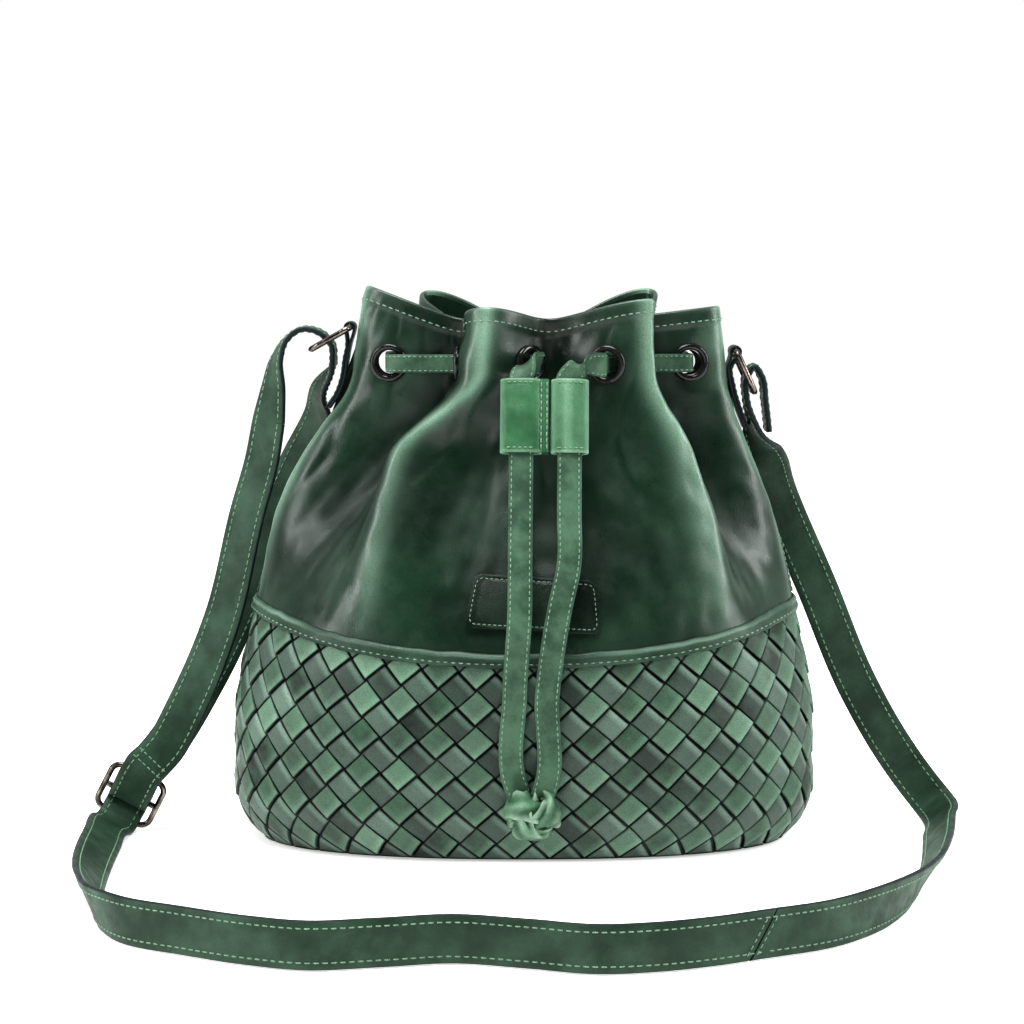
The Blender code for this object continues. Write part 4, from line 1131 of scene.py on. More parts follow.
@dataclass(frozen=True)
class SideWelts:
    """The raised seams up the bag's sides, each a rolled edge with a line of stitches on both sides."""

    width: float = 6 * MM
    rise: float = 1.5 * MM
    tab_feet: tuple[float, float] = (207 * MM, 217 * MM)
    rows: int = 90

    def build(self) -> None:
        """The right and the left welt, and their stitches."""
        for name, angle, foot in (("right", 0.0, self.tab_feet[0]), ("left", math.pi, self.tab_feet[1])):
            heights = np.linspace(WALL.band_low + WALL.band_rise + 4 * MM, foot - 2 * MM, self.rows)
            turn = np.linspace(0, TURN, 20, endpoint=False)
            across = np.cos(turn) * self.width / 2
            ridge = np.abs(np.sin(turn)) ** 0.7 * (1 - 0.45 * np.exp(-((across / (0.55 * MM)) ** 2)))
            out = np.where(np.sin(turn) > 0, self.rise * ridge, 0) + 0.15 * MM
            metre = self.metre(angle)
            spread = angle + across[None, :] * metre + 0 * heights[:, None]
            level = heights[:, None] + 0 * spread
            fine_relief = 0.1 * MM * ripple(level * 60, spread, (1, 1), 8, 9)
            points = WALL.laid(spread, level, out[None, :] + fine_relief)
            # painted highlight on the rolled shoulders either side of the groove, painted shade down the
            # groove
            rolled = 0.45 * np.exp(-(((np.abs(across) - 1.4 * MM) / (0.7 * MM)) ** 2))[None, :] + 0 * level
            groove = np.exp(-((across / (0.5 * MM)) ** 2))[None, :] + 0 * level
            Surface.loft(points, wear=rolled, shade=groove).add(
                f"side_seam_{name}", BAND, Body.BAG, f"side_welt_{name}"
            )
            rows = []
            for side in (-1, 1):
                line_angle = np.full(400, angle + side * 1.5 * MM * metre)
                line_height = np.linspace(heights[0], heights[-1], 400)
                line = WALL.laid(line_angle, line_height, np.full(400, self.rise - 0.05 * MM))
                rows.append(Thread().seam(line, WALL.level_normal(line_angle, line_height)))
            Surface.joined(rows).add(f"side_seam_stitches_{name}", THREAD, Body.BAG)

    @staticmethod
    def metre(angle: float) -> float:
        """Turn of the wall's angle for each metre round it, near one side."""
        step = WALL.plain_point(angle + 0.01, 0.17) - WALL.plain_point(angle - 0.01, 0.17)
        return 0.02 / float(np.linalg.norm(step))


@dataclass(frozen=True)
class LabelPatch:
    """A blank leather patch with round corners, sewn on below the gathers."""

    width: float = 70 * MM
    height: float = 27 * MM
    corner: float = 5 * MM
    thickness: float = 1.5 * MM
    seat: float = 0.3 * MM
    tilt: float = math.radians(-3)
    x: float = 6 * MM
    z: float = 127.5 * MM
    margin: float = 2.1 * MM
    rings: int = 22

    def outline(self, inset: float, count: int = 200) -> Array:
        """Round-cornered rectangle as sideways and upward distances, evenly spaced."""
        half, rise, corner = self.width / 2 - inset, self.height / 2 - inset, self.corner - inset * 0.6
        turn = np.linspace(0, math.pi / 2, 12)
        corners = []
        for i, (sx, sz) in enumerate(((1, 1), (-1, 1), (-1, -1), (1, -1))):
            a = turn + math.pi / 2 * i
            corners.append(np.stack([sx * (half - corner) + corner * np.cos(a),
                                     sz * (rise - corner) + corner * np.sin(a)], -1))
        path = np.concatenate([*corners, corners[0][:1]])
        along = np.concatenate([[0], np.cumsum(np.linalg.norm(np.diff(path, axis=0), axis=1))])
        even = np.linspace(0, along[-1], count, endpoint=False)
        flat = np.stack([np.interp(even, along, column) for column in path.T], -1)
        cos, sin = math.cos(self.tilt), math.sin(self.tilt)
        return flat @ np.array([[cos, sin], [-sin, cos]])

    def place(self) -> float:
        """The angle of the patch's middle."""
        angles = np.radians(np.linspace(240, 300, 601))
        across = WALL.plain_point(angles, np.full(601, self.z))[:, 0]
        return float(angles[np.argmin(np.abs(across - self.x))])

    def lift(self, across: Array, up: Array) -> Array:
        """Clearance that keeps the patch above the crumpled leather under it."""
        return self.seat + 0.9 * MM + 0.25 * MM * ripple(across * 30, up * 30, (1, 1), 8, 31)

    def build(self) -> None:
        """The patch as rings drawn in from its outline, and its stitched border."""
        angle, outline = self.place(), self.outline(0)
        shares = np.concatenate([[0.02], np.linspace(0.06, 1, self.rings) ** 0.5])
        top = outline[None] * shares[:, None, None]
        across = np.concatenate([top, outline[None] * 1.004, outline[None], outline[None] * 0.05])[..., 0]
        up = np.concatenate([top, outline[None] * 1.004, outline[None], outline[None] * 0.05])[..., 1]
        away = np.concatenate([
            np.where(shares < 0.985, self.thickness, self.thickness * 0.9),
            [self.thickness * 0.45, 0.0, 0.0],
        ])[:, None]
        in_from_edge = (1 - np.append(shares, [1, 1, 0])) * self.height / 2
        sunk = np.exp(-(((in_from_edge - self.margin) / (0.6 * MM)) ** 2))
        distance = away + self.lift(across, up) - 0.2 * MM * sunk[:, None]
        points = WALL.near(angle, self.z, across, up, distance)
        edge = np.concatenate([shares, [1, 1, 1]])[:, None] + 0 * across
        Surface.loft(points, edge=edge).add("patch_blank", PATCH, Body.BAG, "label_patch")
        line = self.outline(self.margin, 900)
        line = np.concatenate([line, line[:1]])
        stitched = WALL.near(angle, self.z, line[:, 0], line[:, 1],
                             self.lift(line[:, 0], line[:, 1]) + self.thickness - 0.1 * MM)
        out = np.broadcast_to(WALL.level_normal(angle, self.z), stitched.shape)
        Thread(length=1.7 * MM, pitch=2.5 * MM, radius=0.3 * MM).seam(stitched, out).add(
            "patch_stitches", THREAD, Body.BAG
        )


@dataclass(frozen=True)
class Eyelets:
    """Twelve enamelled eyelets with their washers inside."""

    bore: float = 6.3 * MM
    barrel_wall: float = 0.6 * MM
    flange: float = 9.5 * MM
    seat: float = 0.35 * MM
    crown: float = 1.75 * MM
    depth: float = -4.2 * MM
    washer: tuple[float, float] = (-3.5 * MM, -4.2 * MM)
    steps: int = 56

    def ring(self, middle: Array, normal: Array, section: Array) -> Surface:
        """A section of (radius, distance) turned round an eyelet's axis."""
        turn = np.linspace(0, TURN, self.steps, endpoint=False)[:, None, None]
        side = np.cross(normal, (0, 0, 1))
        radial = np.cos(turn) * side + np.sin(turn) * np.array((0, 0, 1.0))
        grid = middle + radial * section[None, :, :1] + normal * section[None, :, 1:]
        return Surface.loft(grid, closed_rows=True)

    def build(self) -> None:
        """Each eyelet and each washer as its own piece."""
        arc = np.linspace(0, math.pi, 11)
        mid, half = (self.bore + self.flange) / 2, (self.flange - self.bore) / 2
        rolled = np.stack([mid + half * np.cos(arc), self.seat + self.crown * np.sin(arc) ** 0.75], -1)
        barrel = self.bore + self.barrel_wall
        section = np.concatenate([
            rolled, [(self.bore, self.depth), (barrel, self.depth), (barrel, self.seat)],
        ])
        hole, outer = barrel + 0.15 * MM, self.flange - 0.6 * MM
        high, low = self.washer
        flat = np.array([(hole, high), (outer, high), (outer + 0.2 * MM, (high + low) / 2), (outer, low),
                         (hole, low)])
        for i, (middle, normal) in enumerate(zip(*WALL.eyelet_frames()), 1):
            self.ring(middle, normal, section).add(f"rim_eyelet_{i:02d}", EYELET, Body.BAG, f"eyelet_{i:02d}")
            self.ring(middle, normal, flat).add(
                f"rim_washer_{i:02d}", EYELET, Body.BAG, f"eyelet_washer_{i:02d}"
            )


# Drawstring, its tails, stopper and knot


@dataclass(frozen=True)
class Drawstring:
    """The lace that runs once round the mouth, inside each ridge and outside each valley."""

    width: float = 9.2 * MM
    thickness: float = 2.0 * MM
    steps: tuple[float, ...] = (-4.9 * MM, -2.6 * MM, 0.3 * MM, 2.9 * MM)
    first: int = 8
    count: int = 620

    def route(self) -> Route:
        """Through each eyelet along its own normal, with the lace's width upright."""
        middles, normals = WALL.eyelet_frames()
        order = (self.first - np.arange(12)) % 12
        rows = []
        for i, eyelet in enumerate(order):
            steps = self.steps if i % 2 else self.steps[::-1]
            rows += [(*(middles[eyelet] + normals[eyelet] * step), 0, 0, 1) for step in steps]
        return Route(np.array(rows))

    def build(self) -> None:
        """The lace and the stitches along its edges."""
        route = self.route().sampled(self.count)
        lace = route.strip(self.width, self.thickness, 0.8 * MM, 0.15 * MM).add(
            "mouth_lace", LACE, Body.BAG, "drawstring"
        )
        length = float(route.along()[-1])
        Thread(length=1.7 * MM, pitch=2.6 * MM, radius=0.28 * MM).edge_rows(
            route, self.width, self.thickness, 1.2 * MM, faces=(-1, 1)
        ).add("mouth_lace_stitches", THREAD, Body.BAG)


@dataclass(frozen=True)
class Tails:
    """The lace's two ends: from the centre eyelets, through the stopper, down to the knot."""

    width: float = 12 * MM
    thickness: float = 2.0 * MM
    stopper_centre: Point = (9.5 * MM, -64.5 * MM, 216 * MM)
    slide: Point = (-0.01, -0.36, -1.0)
    stopper_height: float = 37 * MM
    channels: tuple[float, float] = (-11 * MM, 12.2 * MM)
    eyelets: tuple[int, int] = (8, 9)
    knot_centre: Point = (3.5 * MM, -93 * MM, 28 * MM)
    knot_size: Point = (31 * MM, 17 * MM, 27 * MM)
    feet: tuple[float, float] = (-7.5 * MM, 6.5 * MM)
    leave: float = 3.9 * MM
    entry: float = 0.54
    straight: tuple[float, ...] = (0.5, 1.3, 1.95, 2.6)
    closing: tuple[float, float] = (1.0, 0.62)
    count: int = 260

    def down(self) -> Array:
        """Direction of the tails' straight stretch."""
        return unit(np.array(self.slide))

    def in_stopper(self, across: float, drop: float) -> Array:
        """Place at a sideways distance and a distance down the slope from the stopper's middle."""
        return np.array(self.stopper_centre) + self.down() * drop + np.array((across, 0, 0))

    def route(self, side: int) -> Route:
        """The left (0) or right (1) tail's path."""
        middles, normals = WALL.eyelet_frames()
        middle, normal = middles[self.eyelets[side]], normals[self.eyelets[side]]
        channel, foot = self.channels[side], self.feet[side]
        start = middle + normal * self.leave
        enter = self.in_stopper(channel, -self.entry * self.stopper_height)
        turn_in = start + (enter - start) * 0.62 + np.array((0, -3.5 * MM, 3.5 * MM))
        rows = [
            (*start, 0, 0, 1),
            (*(start + normal * 2 * MM), 0.1, 0, 1),
            (*turn_in, 0.8, 0, 0.5),
            (*enter, 1, 0, 0),
            (*self.in_stopper(channel, 0), 1, 0, 0),
        ]
        for drop in self.straight:
            below = max(0.0, (drop - self.straight[-2]) / (self.straight[-1] - self.straight[-2]))
            across = channel * (1 - (1 - self.closing[side]) * below)
            rows.append((*self.in_stopper(across, drop * self.stopper_height), 1, 0, 0))
        x, y, z = self.knot_centre
        top = z + self.knot_size[2] / 2
        rows += [
            (x + foot * 1.1, y - 1 * MM, 85 * MM, 1, 0, 0),
            (x + foot, y, top + 0.3 * MM, 1, 0.1, 0),
            (x + foot * 0.7, y, top - 5 * MM, 1, 0.3, 0),
        ]
        return Route(np.array(rows))

    def build(self) -> list[bpy.types.Object]:
        """Both tails with their stitches, and the knot."""
        knot = self.knot()
        made = [knot]
        for side, name in ((0, "left"), (1, "right")):
            route = self.route(side).sampled(self.count)
            swell = 1 + 0.12 * ripple(route.along() * 25, route.along() * 9, (1, 1), 6, 40 + side)
            profile = rounded_profile(self.width, self.thickness, 0.8 * MM, 0.2 * MM, 11)
            grid = route.swept(profile, swell)
            edge = np.broadcast_to(np.abs(profile[:, 0]) * 2 / self.width, grid.shape[:2])
            start = route.centre[0]
            normal = WALL.eyelet_frames()[1][self.eyelets[side]]
            fold = Fold(Body.BAG, Body.TAILS, tuple(start), tuple(start + normal * 9 * MM))
            tail = Surface.loft(grid, edge=edge).add(f"lace_tail_{name}", LACE, fold, f"tail_{name}")
            stitches = Thread(length=2.0 * MM, pitch=3.0 * MM, radius=0.32 * MM).edge_rows(
                route, self.width, self.thickness + 0.1 * MM, 1.5 * MM
            ).add(f"lace_tail_stitches_{name}", THREAD, fold)
            round(float(route.along()[-1]), 3)
            made += [tail, stitches]
        return made

    def knot(self) -> bpy.types.Object:
        """An overhand knot pulled tight: a trefoil path carrying a flat, wrinkled section.

        With t going once round, the path is (sin t + 2 sin 2t, cos t - 2 cos 2t, -sin 3t) scaled to
        the knot's size, and the section is an oval squeezed in a few places.
        """
        t = np.linspace(0, TURN, 260, endpoint=False)
        path = np.stack([np.sin(t) + 2 * np.sin(2 * t), -np.sin(3 * t), np.cos(t) - 2 * np.cos(2 * t)], -1)
        size = np.array(self.knot_size)
        centre = np.array(self.knot_centre) + path / (3, 1, 3) * (size / 2 - np.array((5.5, 3.6, 5.0)) * MM)
        ahead = unit(np.roll(centre, -1, 0) - np.roll(centre, 1, 0))
        out = unit(centre - np.array(self.knot_centre) + np.array((0, 1e-6, 0)))
        side = unit(np.cross(ahead, out))
        out = np.cross(side, ahead)
        turn = np.linspace(0, TURN, 28, endpoint=False)[None, :]
        crumple = ripple(t[:, None] + 0 * turn, turn + 0 * t[:, None], (0.7, 1.3), 14, 77)
        fold = 1 + 0.20 * crumple
        half, deep = 7.4 * MM * fold, 3.9 * MM * fold
        grid = centre[:, None] + side[:, None] * (half * np.cos(turn))[..., None]
        grid = grid + out[:, None] * (deep * np.sin(turn))[..., None]
        # painted highlights on the section's flat edges and raised crumples, painted shade in the hollows
        # between crumples
        wear = np.clip(0.45 * np.abs(np.cos(turn)) ** 8 + 0.35 * crumple + 0 * t[:, None], 0, 0.8)
        shade = np.clip(-0.5 * crumple, 0, 0.6)
        return Surface.loft(grid, closed_rows=True, wear=wear, shade=shade).add(
            "lace_knot", LACE_KNOT, Body.TAILS, "tail_knot"
        )


@dataclass(frozen=True)
class Stopper:
    """The slide on the tails: two flat sleeves side by side, sewn together between them."""

    tails: Tails
    width: float = 44 * MM
    height: float = 37 * MM
    wall: float = 1.7 * MM
    channel_gap: float = 0.75 * MM
    channel_widths: tuple[float, float] = (17 * MM, 15 * MM)
    paler: float = 0.14  # how much paler the right sleeve is all over
    rows: int = 46

    def frames(self) -> tuple[Array, Array, Array]:
        """Directions across, out of the front and down the slide."""
        down = self.tails.down()
        across = np.array((1.0, 0, 0))
        out = unit(np.cross(down, across))
        return unit(np.cross(out, down)), out, down

    def sleeve(self, middle: float, width: float, seed: int) -> Surface:
        """A flat tube: its section's outside and inside are ovals of power 4, carried down the slide."""
        across, out, down = self.frames()
        turn = np.linspace(0, TURN, 72, endpoint=False)
        cos, sin = np.cos(turn), np.sin(turn)
        gap = self.tails.thickness / 2 + self.channel_gap
        flat = np.stack([np.sign(cos) * np.abs(cos) ** 0.6, np.sign(sin) * np.abs(sin) ** 0.9], -1)
        inner = flat * (width / 2, gap)
        outer = flat * (width / 2 + self.wall, gap + self.wall)
        lip = np.linspace(0, math.pi, 7)[1:-1]
        half = self.height / 2
        down_rows = np.linspace(-half + 0.8 * MM, half - 0.8 * MM, self.rows)
        shares = np.concatenate([
            np.zeros(self.rows), (1 - np.cos(lip)) / 2, np.ones(self.rows), (1 + np.cos(lip)) / 2,
        ])
        drops = np.concatenate([
            down_rows, half - 0.8 * MM + 0.8 * MM * np.sin(lip), down_rows[::-1],
            -half + 0.8 * MM - 0.8 * MM * np.sin(lip),
        ])
        section = outer[None] + (inner - outer)[None] * shares[:, None, None]
        bulge = 1 + (1 - shares) * 0.16 * np.cos(drops / half * math.pi / 2)
        relief = 0.12 * MM * ripple(turn[None, :] + 0 * drops[:, None],
                                    drops[:, None] * 90 + 0 * turn[None, :],
                                    (1.4, 1.2), 10, seed)
        deep = section[..., 1] * bulge[:, None] + np.sign(section[..., 1]) * relief * (1 - shares)[:, None]
        centre = np.array(self.tails.stopper_centre) + across * middle
        grid = (centre + across * section[..., :1] + out * deep[..., None] + down * drops[:, None, None])
        # painted highlights along both side edges and a painted glint down the right sleeve; both sleeves
        # grow paler towards their ends, and the right one is paler all over
        ends = np.clip(np.abs(drops) / half - 0.9, 0, 0.1)[:, None]
        wear = ends * 6 + 0.65 * np.abs(flat[:, 0])[None, :] ** 14
        glint = 0.4 * np.exp(-(((flat[:, 0] + 0.15) / 0.22) ** 2)) + self.paler
        wear = np.clip(wear + glint[None, :] * (middle > 0), 0, 1)
        return Surface.loft(grid, closed_rows=True, wear=wear + 0 * grid[..., 0], shade=0 * grid[..., 0])

    def build(self) -> None:
        """Two sleeves, the web between them, and the stitches."""
        across, out, down = self.frames()
        sleeves = [
            self.sleeve(middle, width, seed)
            for middle, width, seed in zip(self.tails.channels, self.channel_widths, (51, 52))
        ]
        seam_x = (self.tails.channels[0] + self.channel_widths[0] / 2 + self.tails.channels[1]
                  - self.channel_widths[1] / 2) / 2
        centre = np.array(self.tails.stopper_centre) + across * (seam_x - 1.1 * MM)
        ends = np.linspace(-0.985, 0.985, 40) * self.height / 2
        web = Route(np.concatenate([centre + down * ends[:, None], np.broadcast_to(across, (40, 3))], 1))
        strip = web.strip(5.0 * MM, 5.0 * MM, 1.4 * MM, 0.2 * MM)
        # painted shade over the whole web between the sleeves
        strip.values = {"wear": 0 * strip.values["edge"], "shade": 0.35 + 0 * strip.values["edge"]}
        Surface.joined([*sleeves, strip]).add("stopper_sleeves", STOPPER, Body.STOPPER, "cord_stopper")
        front = (self.tails.thickness / 2 + self.channel_gap + self.wall) * 1.06
        rows = []
        for shift in (-1.5 * MM, 1.2 * MM):
            line = centre + across * shift + out * 2.7 * MM + down * np.linspace(-17, 17, 200)[:, None] * MM
            rows.append(Thread().seam(line, np.broadcast_to(out, line.shape)))
        for middle, width in zip(self.tails.channels, self.channel_widths):
            reach = np.linspace(-0.42, 0.42, 120)[:, None] * width
            for drop in (-0.44, 0.44):
                place = np.array(self.tails.stopper_centre) + across * (middle + reach)
                for face in (1, -1):
                    line = place + out * face * front + down * drop * self.height
                    rows.append(Thread(length=1.8 * MM, pitch=2.6 * MM, radius=0.32 * MM).seam(
                        line, np.broadcast_to(out * face, line.shape)))
        Surface.joined(rows).add("stopper_stitches", THREAD, Body.STOPPER)


# Rings, tabs, slide adjuster and strap


def tube(path: Array, radius: float, closed: bool, sides: int = 20) -> Surface:
    """Round wire along a smooth path: a circle carried square to it."""
    if closed:
        ahead = unit(np.roll(path, -1, 0) - np.roll(path, 1, 0))
    else:
        ahead = unit(np.gradient(path, axis=0))
    spread = path - path.mean(axis=0)
    _, _, axes = np.linalg.svd(spread, full_matrices=False)
    flat = np.broadcast_to(axes[2], path.shape)
    side = unit(np.cross(ahead, flat))
    turn = np.linspace(0, TURN, sides, endpoint=False)
    grid = path[:, None] + radius * (
        side[:, None] * np.cos(turn)[None, :, None] + flat[:, None] * np.sin(turn)[None, :, None]
    )
    return Surface.loft(grid, closed_rows=closed)


def rounded_loop(corners: list[tuple[Array, Array, Array, float]], steps: int = 14) -> Array:
    """A flat loop of straight runs and round corners.

    Args:
        corners: For each corner: the rounding's middle, two directions, and the bend's radius. The
            rounding goes from the first direction to the second.
        steps: Points in each corner.

    Returns:
        Points once round, with a few between corners.
    """
    turn = np.linspace(0, math.pi / 2, steps)[:, None]
    arcs = [
        middle + bend * (first * np.cos(turn) + second * np.sin(turn))
        for middle, first, second, bend in corners
    ]
    pieces = []
    for i, arc in enumerate(arcs):
        after = arcs[(i + 1) % len(arcs)][0]
        run = arc[-1] + (after - arc[-1]) * np.linspace(0, 1, 8)[1:-1, None]
        pieces += [arc, run]
    return np.concatenate(pieces)


@dataclass(frozen=True)
class RingAndTab:
    """A D-ring on its bar, held to the bag's side by a folded leather tab."""

    name: str
    body: Body
    axis: Point
    points: Point
    side: int
    foot: float
    wire: float = 3.0 * MM
    reach: float = 22 * MM
    half: float = 14 * MM  # half the wire loop's width, to the wire's middle
    corner: float = 5 * MM
    tab_width: float = 18 * MM
    tab_thickness: float = 1.2 * MM
    layer_gap: float = 0.3 * MM
    wall_gap: float = 0.7 * MM
    below_bar: float = 3.4

    def ring(self) -> Surface:
        """The ring: a straight bar on the tab's axis and a bow at its reach."""
        out, side = unit(np.array(self.points)), np.array((0, 1.0, 0))
        axis = np.array(self.axis)
        near, straight = self.wire, self.half - self.corner
        corners = [
            (axis + side * (self.half - near) + out * near, -out, side, near),
            (axis + side * straight + out * (self.reach - self.corner), side, out, self.corner),
            (axis - side * straight + out * (self.reach - self.corner), out, -side, self.corner),
            (axis - side * (self.half - near) + out * near, -side, -out, near),
        ]
        return tube(rounded_loop(corners), self.wire / 2, closed=True)

    def tab_route(self) -> Route:
        """Up the bag's side, round the ring's bar, and down again on the outside."""
        axis = self.axis
        loop = self.wire / 2 + self.layer_gap + self.tab_thickness / 2
        levels = np.linspace(self.foot, axis[2] - self.below_bar * loop, 5)
        inner = np.array([
            (WALL.side_x(z, self.side) + self.side * (self.wall_gap + self.tab_thickness), 0, z)
            for z in levels
        ])
        outer = inner[::-1] + (self.side * (self.tab_thickness + self.layer_gap), 0, 0)
        turn = np.radians(np.linspace(205, -25, 8))[:, None]
        bend = np.array(axis) + np.concatenate(
            [self.side * loop * np.cos(turn), 0 * turn, loop * np.sin(turn)], 1
        )
        path = np.concatenate([inner, bend, outer])
        return Route(np.concatenate([path, np.broadcast_to((0, 1.0, 0), path.shape)], 1))

    def build(self) -> None:
        """The ring, the tab and the tab's cross-stitched seam."""
        self.ring().add(f"d_ring_{self.name}", NICKEL, self.body, f"ring_{self.name}")
        route = self.tab_route().sampled(170)
        route.strip(self.tab_width, self.tab_thickness, 0.4 * MM, 0.12 * MM).add(
            f"ring_tab_{self.name}", STRAP, Body.BAG, f"tab_{self.name}"
        )
        outer = Route(route.rows[-66:-4])
        _, across, face = outer.frames()
        away = face * np.sign((face * (self.side, 0, 0)).sum(-1, keepdims=True))
        rows = []
        for shift in (-1, 1):
            inset = self.tab_width / 2 - 1.6 * MM
            line = outer.centre + across * shift * inset + away * self.tab_thickness / 2
            rows.append(Thread().seam(line, away))
        for place in (4, 24):
            reach = np.linspace(-1, 1, 60)[:, None] * (self.tab_width / 2 - 1.6 * MM)
            lift = self.tab_thickness / 2 + 0.1 * MM
            line = outer.centre[-place] + across[-place] * reach + away[-place] * lift
            rows.append(Thread().seam(line, np.broadcast_to(away[-place], line.shape)))
        Surface.joined(rows).add(f"ring_tab_stitches_{self.name}", THREAD, Body.BAG)


@dataclass(frozen=True)
class Adjuster:
    """The strap's slide: a frame of round wire and a bar across its middle."""

    centre: Point = (-200.5 * MM, 1 * MM, 19 * MM)
    up: Point = (0.46, -0.1, 0.88)
    across: Point = (-0.89, 0, 0.46)
    half_height: float = 12.3 * MM
    half_width: float = 14.6 * MM
    corner: float = 5 * MM
    wire: float = 3.0 * MM

    def directions(self) -> tuple[Array, Array, Array]:
        """Up the slide, across it, and out of its front."""
        up, across = unit(np.array(self.up)), unit(np.array(self.across))
        return up, across, np.cross(up, across)

    def at(self, steps: tuple[tuple[float, float], ...]) -> list[tuple[float, ...]]:
        """Route rows given in millimetres up the slide's plane and out of it."""
        up, across, out = self.directions()
        return [
            (*(np.array(self.centre) + (up * rise + out * away) * MM), *across) for rise, away in steps
        ]

    def build(self) -> None:
        """The frame and the bar."""
        up, across, _ = self.directions()
        centre = np.array(self.centre)
        corners = [
            (centre + across * x * (self.half_width - self.corner)
             + up * y * (self.half_height - self.corner),
             first, second, self.corner)
            for x, y, first, second in (
                (1, 1, across, up), (-1, 1, up, -across), (-1, -1, -across, -up), (1, -1, -up, across)
            )
        ]
        tube(rounded_loop(corners), self.wire / 2, closed=True).add(
            "slide_frame", NICKEL, Body.ADJUSTER, "adjuster_frame"
        )
        reach = self.half_width - self.wire * 0.45
        path = centre + across * np.linspace(-reach, reach, 24)[:, None]
        path = path + up * 1e-7 * np.linspace(-1, 1, 24)[:, None] ** 2
        tube(path, self.wire / 2, closed=False).add("slide_bar", NICKEL, Body.ADJUSTER, "adjuster_bar")


RIGHT_RUN = (
    (122.8, 0, 205, 0, -1, 0), (121.0, 0, 220, 0, -1, 0), (118.8, 0, 233, 0, -1, 0),
    (115.4, 0, 237.6, 0, -1, 0), (111.8, 0, 233, 0, -1, 0), (111.8, 0, 220, 0, -1, 0),
    (115.4, 1, 208, 0.12, -1, 0.05), (122.5, 13, 194, 0.6, -0.65, 0.3), (130, 34, 173, 0.89, -0.15, 0.45),
    (152.5, 36, 121, 0.9, 0, 0.44), (174, 37, 70, 0.88, 0, 0.47), (193.5, 38, 36, 0.84, -0.05, 0.54),
    (205.5, 37, 19, 0.81, -0.12, 0.57), (213, 32, 9.6, 0.8, -0.14, 0.58), (214.5, 12, 7.4, 0.78, -0.05, 0.62),
    (209, -20, 7.7, 0.75, 0, 0.66), (198.5, -80, 8.2, 0.68, 0, 0.73), (187, -130, 9.1, 0.58, 0, 0.82),
    (170, -180, 10.4, 0.33, 0, 0.94), (151, -213, 11, 0.1, 0, 1), (130, -236, 11, 0, 0, 1),
    (99, -254.5, 11, 0, 0, 1),
)
LEFT_RUN = (
    (98.2, -254.9, 11, 0, 0, 1), (78, -266, 11, 0, 0, 1), (55, -275, 11, 0, 0, 1), (29, -279, 11, 0, 0, 1),
    (0, -270, 11, 0, 0, 1), (-31, -262, 11, 0, 0, 1), (-60, -268, 11, 0, 0, 1), (-91, -273, 11, 0, 0, 1),
    (-117, -264, 11, 0, 0, 1), (-145, -248, 11, 0, 0, 1), (-170, -232, 11, -0.05, 0, 1),
    (-187, -207, 10.8, -0.3, 0, 0.95), (-196, -172, 9.9, -0.5, 0, 0.87), (-202, -130, 8.4, -0.68, 0, 0.73),
    (-206, -85, 7.2, -0.78, 0, 0.62), (-208, -45, 7.2, -0.82, 0, 0.57), (-209, -22, 8.0, -0.85, 0, 0.52),
)
ADJUSTER_WEAVE = (
    (-12.3, 3.8), (-8.4, 1.0), (-5.4, -3.6), (0, -6.8), (5.4, -4.2), (8.7, 0.4), (12.3, 4.0), (17, 3.2),
)
INNER_RUN = (
    (-188, 2.5, 38, -0.88, 0, 0.47), (-163, 14, 77, -0.9, 0, 0.44), (-147, 29, 111, -0.9, 0.02, 0.42),
    (-134, 41, 146, -0.92, 0.05, 0.38),
    (-117, 45, 185, -0.9, 0.25, 0.33), (-105.5, 33, 209, -0.68, 0.68, 0.25),
    (-102.5, 16, 224, -0.3, 0.95, 0.1), (-96, 3, 239, 0, 1, 0), (-97, 0, 249.5, 0, 1, 0),
    (-103.5, 0, 255, 0, 1, 0), (-111.5, 0, 256, 0, 1, 0), (-119, 0, 251, -0.1, 1, 0),
    (-124, 0, 241, -0.3, 0.95, 0), (-126, 0, 226, -0.6, 0.8, 0), (-128.4, 0, 210, -0.8, 0.6, 0),
)
OUTER_RUN = (
    (-128.4, 0, 210.0, -0.8, 0.6, 0), (-132, 0, 190, -0.84, 0.54, 0.05), (-139, -1, 165, -0.86, 0.5, 0.1),
    (-152.5, -2, 110, -0.86, 0.42, 0.25),
    (-171, -5, 65, -0.87, 0.22, 0.4), (-181, -6.5, 46, -0.88, 0.1, 0.45),
)
SEWN_END = ((14, 8.8), (5.8, 5.8), (0, 3.3), (-2.7, 1.8), (-3.2, -0.3), (-2.0, -2.5), (0.4, -3.1))


